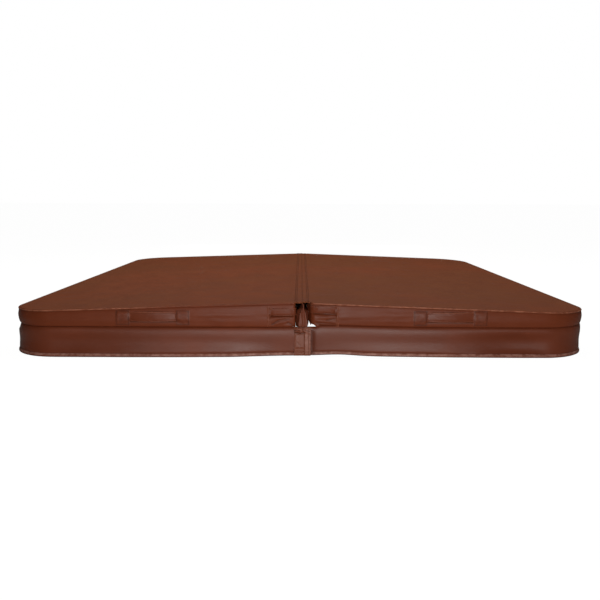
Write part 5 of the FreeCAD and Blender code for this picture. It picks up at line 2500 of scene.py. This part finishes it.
@dataclass
class TieStrap(Fitting):
    """A webbing strap that hangs inside the skirt, doubled through its buckle."""

    webbing: Material
    ribs: int = 9
    buckle_z: float = 0.070
    joined_z: float = 0.105
    tack_z: Range = (72.0 * MM, 84.0 * MM)

    KIND = "tie_strap"

    def build(self) -> Piece:
        """Makes the strap with its folded end; its bar-tacked stitches come from tack.

        Returns:
            The strap.
        """
        low, high = self.low, self.high
        middle = (low + high) / 2
        across = np.linspace(low.y, high.y, 2 * self.ribs + 1)
        rib = 0.22 * MM * np.abs(np.sin(np.linspace(0.0, self.ribs * math.pi, len(across))))
        half = (high.x - low.x) / 2
        turned = [(0.95, 6.0), (0.9, 2.0), (0.4, 0.2), (-0.4, 0.2), (-0.9, 2.0), (-0.95, 6.0)]
        down = [(0.45, high.z), (0.45, self.joined_z), (0.7, 0.085), (0.95, self.buckle_z)]
        down += [(share, low.z + above * MM) for share, above in turned]
        down += [(-0.95, self.buckle_z), (-0.9, 0.082), (-0.3, 0.0824), (-0.3, self.joined_z), (-0.3, high.z)]
        rows = []
        sketch = Sketch(f"tie_webbing_{self.end.label}_{self.side.label}")
        for share, z in down:
            facing = 1.0 if share > 0 else -1.0
            x = middle.x + self.side.value * (share * half + facing * (rib - 0.2 * MM))
            rows.append(grid_of(x, across, z))
        numbers = sketch.add(np.array(rows))
        sketch.skin(numbers, looped=True)
        sketch.cap(numbers[:, 0])
        sketch.cap(numbers[::-1, -1])
        made = sketch.make([self.webbing], crease=70.0)
        return made

    def tack(self, thimble: Thimble) -> None:
        """Sews the box of stitches that closes the strap's loop.

        Args:
            thimble: Takes the stitches.
        """
        low, high = self.low, self.high
        x = (low.x + high.x) / 2 + self.side.value * 1.5 * MM
        y0, y1 = low.y + 3 * MM, high.y - 3 * MM
        z0, z1 = self.tack_z
        corners = [(x, y0, z0), (x, y1, z0), (x, y1, z1), (x, y0, z1), (x, y0, z0), (x, y1, z1)]
        thimble.sew(stepped(corners, 1.5 * MM), (self.side.value, 0.0, 0.0))


@dataclass
class Zip:
    """The zip in the fold wall of one half: two woven tapes and a coil of small teeth."""

    side: Side
    tape: Material
    coil: Material
    pitch: float = 3.2 * MM
    tooth: float = 1.9 * MM

    def build_tapes(self) -> Piece:
        """Makes the two tapes, ribbed along their inner edges.

        Returns:
            The tapes as one piece.
        """
        low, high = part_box(f"zipper_tapes_{self.side.label}")
        outside = min(abs(low.x), abs(high.x))
        middle = (low.z + high.z) / 2
        sketch = Sketch(f"zip_tapes_{self.side.label}")
        y = np.linspace(low.y, high.y, 96)
        for sign in (-1.0, 1.0):
            z = middle + sign * np.array([0.6, 1.4, 2.4, 3.0, 3.8, 6.0, 8.6, 11.4, 12.2]) * MM
            proud = np.array([0.1, 0.55, 0.2, 0.2, 0.05, 0.1, 0.05, 0.1, 0.0]) * MM
            faces = [
                sketch.add(grid_of(self.side.value * x, y[:, None], z[None]))
                for x in ((outside - proud)[None], outside + 0.7 * MM)
            ]
            sketch.slab(*faces)
        made = sketch.make([self.tape], crease=60.0)
        return made

    def build_coil(self) -> Piece:
        """Makes the row of interlocked teeth.

        Returns:
            The teeth as one piece.
        """
        low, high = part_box(f"zipper_chain_{self.side.label}")
        inner, outer = sorted((abs(low.x), abs(high.x)))
        middle, half = (low.z + high.z) / 2, (high.z - low.z) / 2
        sketch = Sketch(f"zip_teeth_{self.side.label}")
        count = int((high.y - low.y) / self.pitch)
        places = low.y + (np.arange(count) + 0.5) * self.pitch
        x_low, x_high = inner + 0.1 * MM, outer - 0.6 * MM
        centre = (x_low + x_high) / 2
        profile = [
            (x_low + 0.5 * MM, -0.9), (x_low, -0.4), (x_low, 0.35), (x_low + 0.6 * MM, 1.0),
            (x_high - 0.3 * MM, 1.0), (x_high, 0.4), (x_high, -0.5), (x_high - 0.4 * MM, -0.9),
        ]
        for sign in (-1.0, 1.0):
            rings = []
            for y_step, scale in ((-0.5, 0.8), (0.0, 1.0), (0.5, 0.8)):
                y = places + 0.25 * self.pitch * sign + y_step * self.tooth
                ring = []
                for x, share in profile:
                    z = middle + sign * half * (0.42 + 0.58 * share * scale) * 0.94
                    ring.append(grid_of(self.side.value * (centre + (x - centre) * scale), y, z))
                rings.append(np.stack(ring, axis=1))
            for tooth in sketch.add(np.stack(rings, axis=1)):
                sketch.tube(tooth)
        return sketch.make([self.coil], crease=50.0)


# ---------------------------------------------------------------------------------------------------------
# The whole cover

# Pale edge tones: painted highlight on welts, hems and flap edges, with scuffing
DUSTY_SHEEN = tone(186, 122, 94)
PALE_SHEEN = tone(188, 142, 128)
BLOTCHED = {"mottle": 0.14}
SMOOTH = {"roughness": 0.42, "grain_share": 0.05}
DENTED = {"mottle": 0.16, "cloud_scale": 6.0, **SMOOTH}
FINISHES = (
    MarineVinyl("top_vinyl", tone(114, 58, 32), tone(106, 59, 33), specular=0.07, roughness=0.66, **BLOTCHED),
    MarineVinyl("band_vinyl", tone(111, 50, 26), tone(104, 48, 26), DUSTY_SHEEN, specular=0.15, **SMOOTH),
    MarineVinyl("skirt_vinyl", tone(112, 51, 28), tone(104, 49, 29), PALE_SHEEN, specular=0.29, **DENTED),
    MarineVinyl("flap_vinyl", tone(120, 60, 36), tone(113, 57, 35), PALE_SHEEN, specular=0.3, **SMOOTH),
    MarineVinyl("seal_vinyl", tone(108, 52, 32), tone(102, 49, 31), specular=0.2, roughness=0.45),
    MarineVinyl("handle_vinyl", tone(108, 49, 27), tone(101, 47, 26), specular=0.2, **SMOOTH),
    MarineVinyl("underside_vinyl", tone(72, 70, 70), tone(66, 64, 64), tone(110, 108, 106)),
    Thread(),
    PileTape(),
    Webbing(),
    Webbing("zip_tape", tone(58, 36, 27), tone(86, 58, 46), picks=420.0),
    MouldedPlastic("zip_teeth_plastic", tone(50, 30, 22), tone(90, 64, 52)),
    MouldedPlastic("buckle_plastic", tone(30, 26, 24), tone(70, 64, 60)),
    MouldedPlastic("screen_plastic", tone(70, 68, 66), tone(104, 100, 96)),
    MouldedPlastic("vapour_film", tone(200, 204, 208), tone(230, 232, 234), 0.25),
    SheetMetal("zip_metal", tone(46, 38, 34), tone(32, 27, 24), 0.55, 900.0),
    SheetMetal("galvanised_steel", tone(190, 192, 194), tone(150, 154, 158), 0.4, 90.0),
    CellFoam(),
    CellFoam("seal_foam", tone(214, 210, 196), tone(170, 166, 150)),
)

# The finish of each material slot on the frame parts that are kept
KEPT_SLOTS = {
    "buckle_plastic": "buckle_plastic",
    "screen_plastic": "screen_plastic",
    "zipper_metal": "zip_metal",
    "galvanised_steel": "galvanised_steel",
    "hook_and_loop": "fastening_pile",
    "foam": "expanded_foam",
    "seal_foam": "seal_foam",
    "vapour_film": "vapour_film",
}

# What each half has of its own, where the two differ
JACKET_SHAPES = {
    Side.LEFT: {
        "creases": LEFT_CREASES,
        # The left welt's painted highlight starts farther from the fold
        "worn_from": 0.6,
        "corner_lift": 3.0 * MM,
        "corner_radius": 186.0 * MM,
        "spread": 2.0 * MM,
        "rise": 2.5 * MM,
    },
    Side.RIGHT: {
        "creases": RIGHT_CREASES,
        "corner_lift": 14.0 * MM,
        "corner_run": 24.0 * MM,
        "wall_lift": 21.0 * MM,
        "drawn_up": 9.0 * MM,
        "fold_radius": 18.0 * MM,
        "opened": 12.0 * MM,
        "spread": -7.0 * MM,
        "rise": -2.0 * MM,
    },
}
SKIRT_SHAPES = {
    Side.LEFT: {"corner_radius": 186.0 * MM, "belly": 7.5, "belly_top": 108.0, "tuck": 10.0, "tuck_at": 0.93},
    Side.RIGHT: {"belly": -1.0, "front_flare": 6.0, "beside_flap": 6.0},
}


@dataclass
class Cover:
    """The whole cover: its two halves and what joins them."""

    finish: dict[str, Material]
    jackets: dict[Side, Jacket] = field(default_factory=dict)
    skirts: dict[Side, Skirt] = field(default_factory=dict)
    thimbles: dict[Side, Thimble] = field(default_factory=dict)

    def build_half(self, side: Side) -> None:
        """Builds one half: its jacket, underside, skirt, zip, handles and tie-down straps.

        Args:
            side: Which half.
        """
        finish, label, body = self.finish, side.label, side.body
        thimble = Thimble(f"stitching_{label}", finish["sewing_thread"])
        jacket = Jacket(side, finish["top_vinyl"], finish["band_vinyl"], **JACKET_SHAPES[side])
        skirt = Skirt(side, finish["skirt_vinyl"], jacket, **SKIRT_SHAPES[side])
        self.jackets[side], self.skirts[side], self.thimbles[side] = jacket, skirt, thimble
        made = jacket.build()
        names = ("top_panel", "side_band", "fold_band", "foam_core", "vapour_wrap")
        ride(made, body, [f"{name}_{label}" for name in names])
        thimble.sew(*jacket.seam_line(1))
        panel = Underside(side, finish["underside_vinyl"], jacket)
        ride(panel.build(), body, [f"bottom_panel_{label}"])
        ride(skirt.build(), body, [f"skirt_{label}"])
        thimble.sew(*skirt.hem_line())
        row = Zip(side, finish["zip_tape"], finish["zip_teeth_plastic"])
        ride(row.build_tapes(), body, [f"zipper_tapes_{label}"])
        ride(row.build_coil(), body, [f"zipper_chain_{label}"])
        patches = Sketch(f"handle_patches_{label}_sewn")
        laps = Sketch(f"band_laps_{label}")
        for end in End:
            self._build_end(side, end, patches, laps)
        made = patches.make([finish["handle_vinyl"]], crease=60.0)
        ride(made, body, [f"handle_patches_{label}"])
        ride(laps.make([finish["band_vinyl"]], crease=60.0), body)

    def _build_end(self, side: Side, end: End, patches: Sketch, laps: Sketch) -> None:
        """Builds the two handles and the tie-down strap at one end of a half.

        Args:
            side: Which half.
            end: Which end.
            patches: Takes the carrying handle's patches.
            laps: Takes the lap seam beside the fold handle.
        """
        jacket, thimble = self.jackets[side], self.thimbles[side]
        vinyl, thread = self.finish["handle_vinyl"], self.finish["sewing_thread"]
        place = f"{end.label}_{side.label}"
        handle = CarryHandle(side, end, jacket, vinyl)
        handle.add_patches(patches, thimble)
        strap = handle.strap()
        ride(strap.build(), handle.node, [handle.node])
        rows = Thimble(f"handle_stitching_{place}", thread)
        strap.sew_edges(rows, 2)
        rows.finish(handle.node)
        grip = FoldHandle(side, end, jacket, vinyl)
        strap = grip.strap()
        ride(strap.build(), side.body, [grip.node])
        strap.sew_edges(thimble, 1)
        LapSeam(side, end, grip.SEAMS[side], jacket).add(laps, thimble)
        tie = TieStrap(side, end, self.finish["tie_webbing"])
        ride(tie.build(), f"tie_down_{place}", [f"tie_strap_{place}"])
        tacks = Thimble(f"tie_stitching_{place}", thread)
        tie.tack(tacks)
        tacks.finish(f"tie_down_{place}")

    def build_fold(self) -> None:
        """Builds the hinge strip and the heat seal between the halves."""
        strip = HingeStrip(self.finish["top_vinyl"], self.jackets[Side.RIGHT])
        leaves = ["hinge_leaf_left", "hinge_leaf_right"]
        ride(strip.build(), ("left_half", "right_half"), leaves, strip.bend_line())
        for x, line in strip.seam_lines():
            self.thimbles[Side.LEFT if x < 0 else Side.RIGHT].sew(line, (0.0, 0.0, 1.0))
        cushion = HeatSeal(self.finish["seal_vinyl"], self.jackets).build()
        ride(cushion, "left_half", ["heat_seal_sleeve", "heat_seal_ends", "heat_seal_core"])

    def build_flap(self, end: End) -> None:
        """Builds the flap that closes the skirt over one end of the fold, with its two tapes.

        Args:
            end: Which end.
        """
        vinyl, pile = self.finish["flap_vinyl"], self.finish["fastening_pile"]
        flap = SkirtFlap(end, vinyl, pile, self.skirts[Side.LEFT])
        body = f"flap_{end.label}"
        bodies, bend = ("left_half", body), flap.bend_line()
        ride(flap.build(), bodies, [f"skirt_flap_{end.label}"], bend)
        ride(flap.hook_tape(), body, [f"flap_hook_{end.label}"])
        loops = ["flap_loops"] if end is End.FRONT else []
        ride(flap.loop_tape(self.skirts[Side.RIGHT]), "right_half", loops)
        rows = Thimble(f"flap_stitching_{end.label}", self.finish["sewing_thread"])
        for line, facing in flap.seams():
            rows.sew(line, facing)
        rows.finish(bodies, bend)


def dress_nodes(finish: dict[str, Material]) -> None:
    """Gives each frame part that is kept its finish, by the slot named in the record.

    Args:
        finish: Materials by name.
    """
    for name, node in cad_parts.items():
        if node.type != "MESH":
            continue
        for index, old in enumerate(node.data.materials):
            slot = old.name.split(".")[0] if old else ""
            if slot in KEPT_SLOTS:
                node.data.materials[index] = finish[KEPT_SLOTS[slot]]
            else:
                LOG.info("%s keeps %s", name, slot)


def main() -> None:
    """Builds the studio, then the cover in it, piece by piece."""
    logging.basicConfig(level=logging.INFO, format="%(name)s: %(message)s")
    Studio().build()
    finish = {each.name: each.material() for each in FINISHES}
    dress_nodes(finish)
    cover = Cover(finish)
    for side in Side:
        cover.build_half(side)
    cover.build_fold()
    for end in End:
        cover.build_flap(end)
    for side in Side:
        cover.thimbles[side].finish(side.body)


if __name__ == "__main__":
    main()
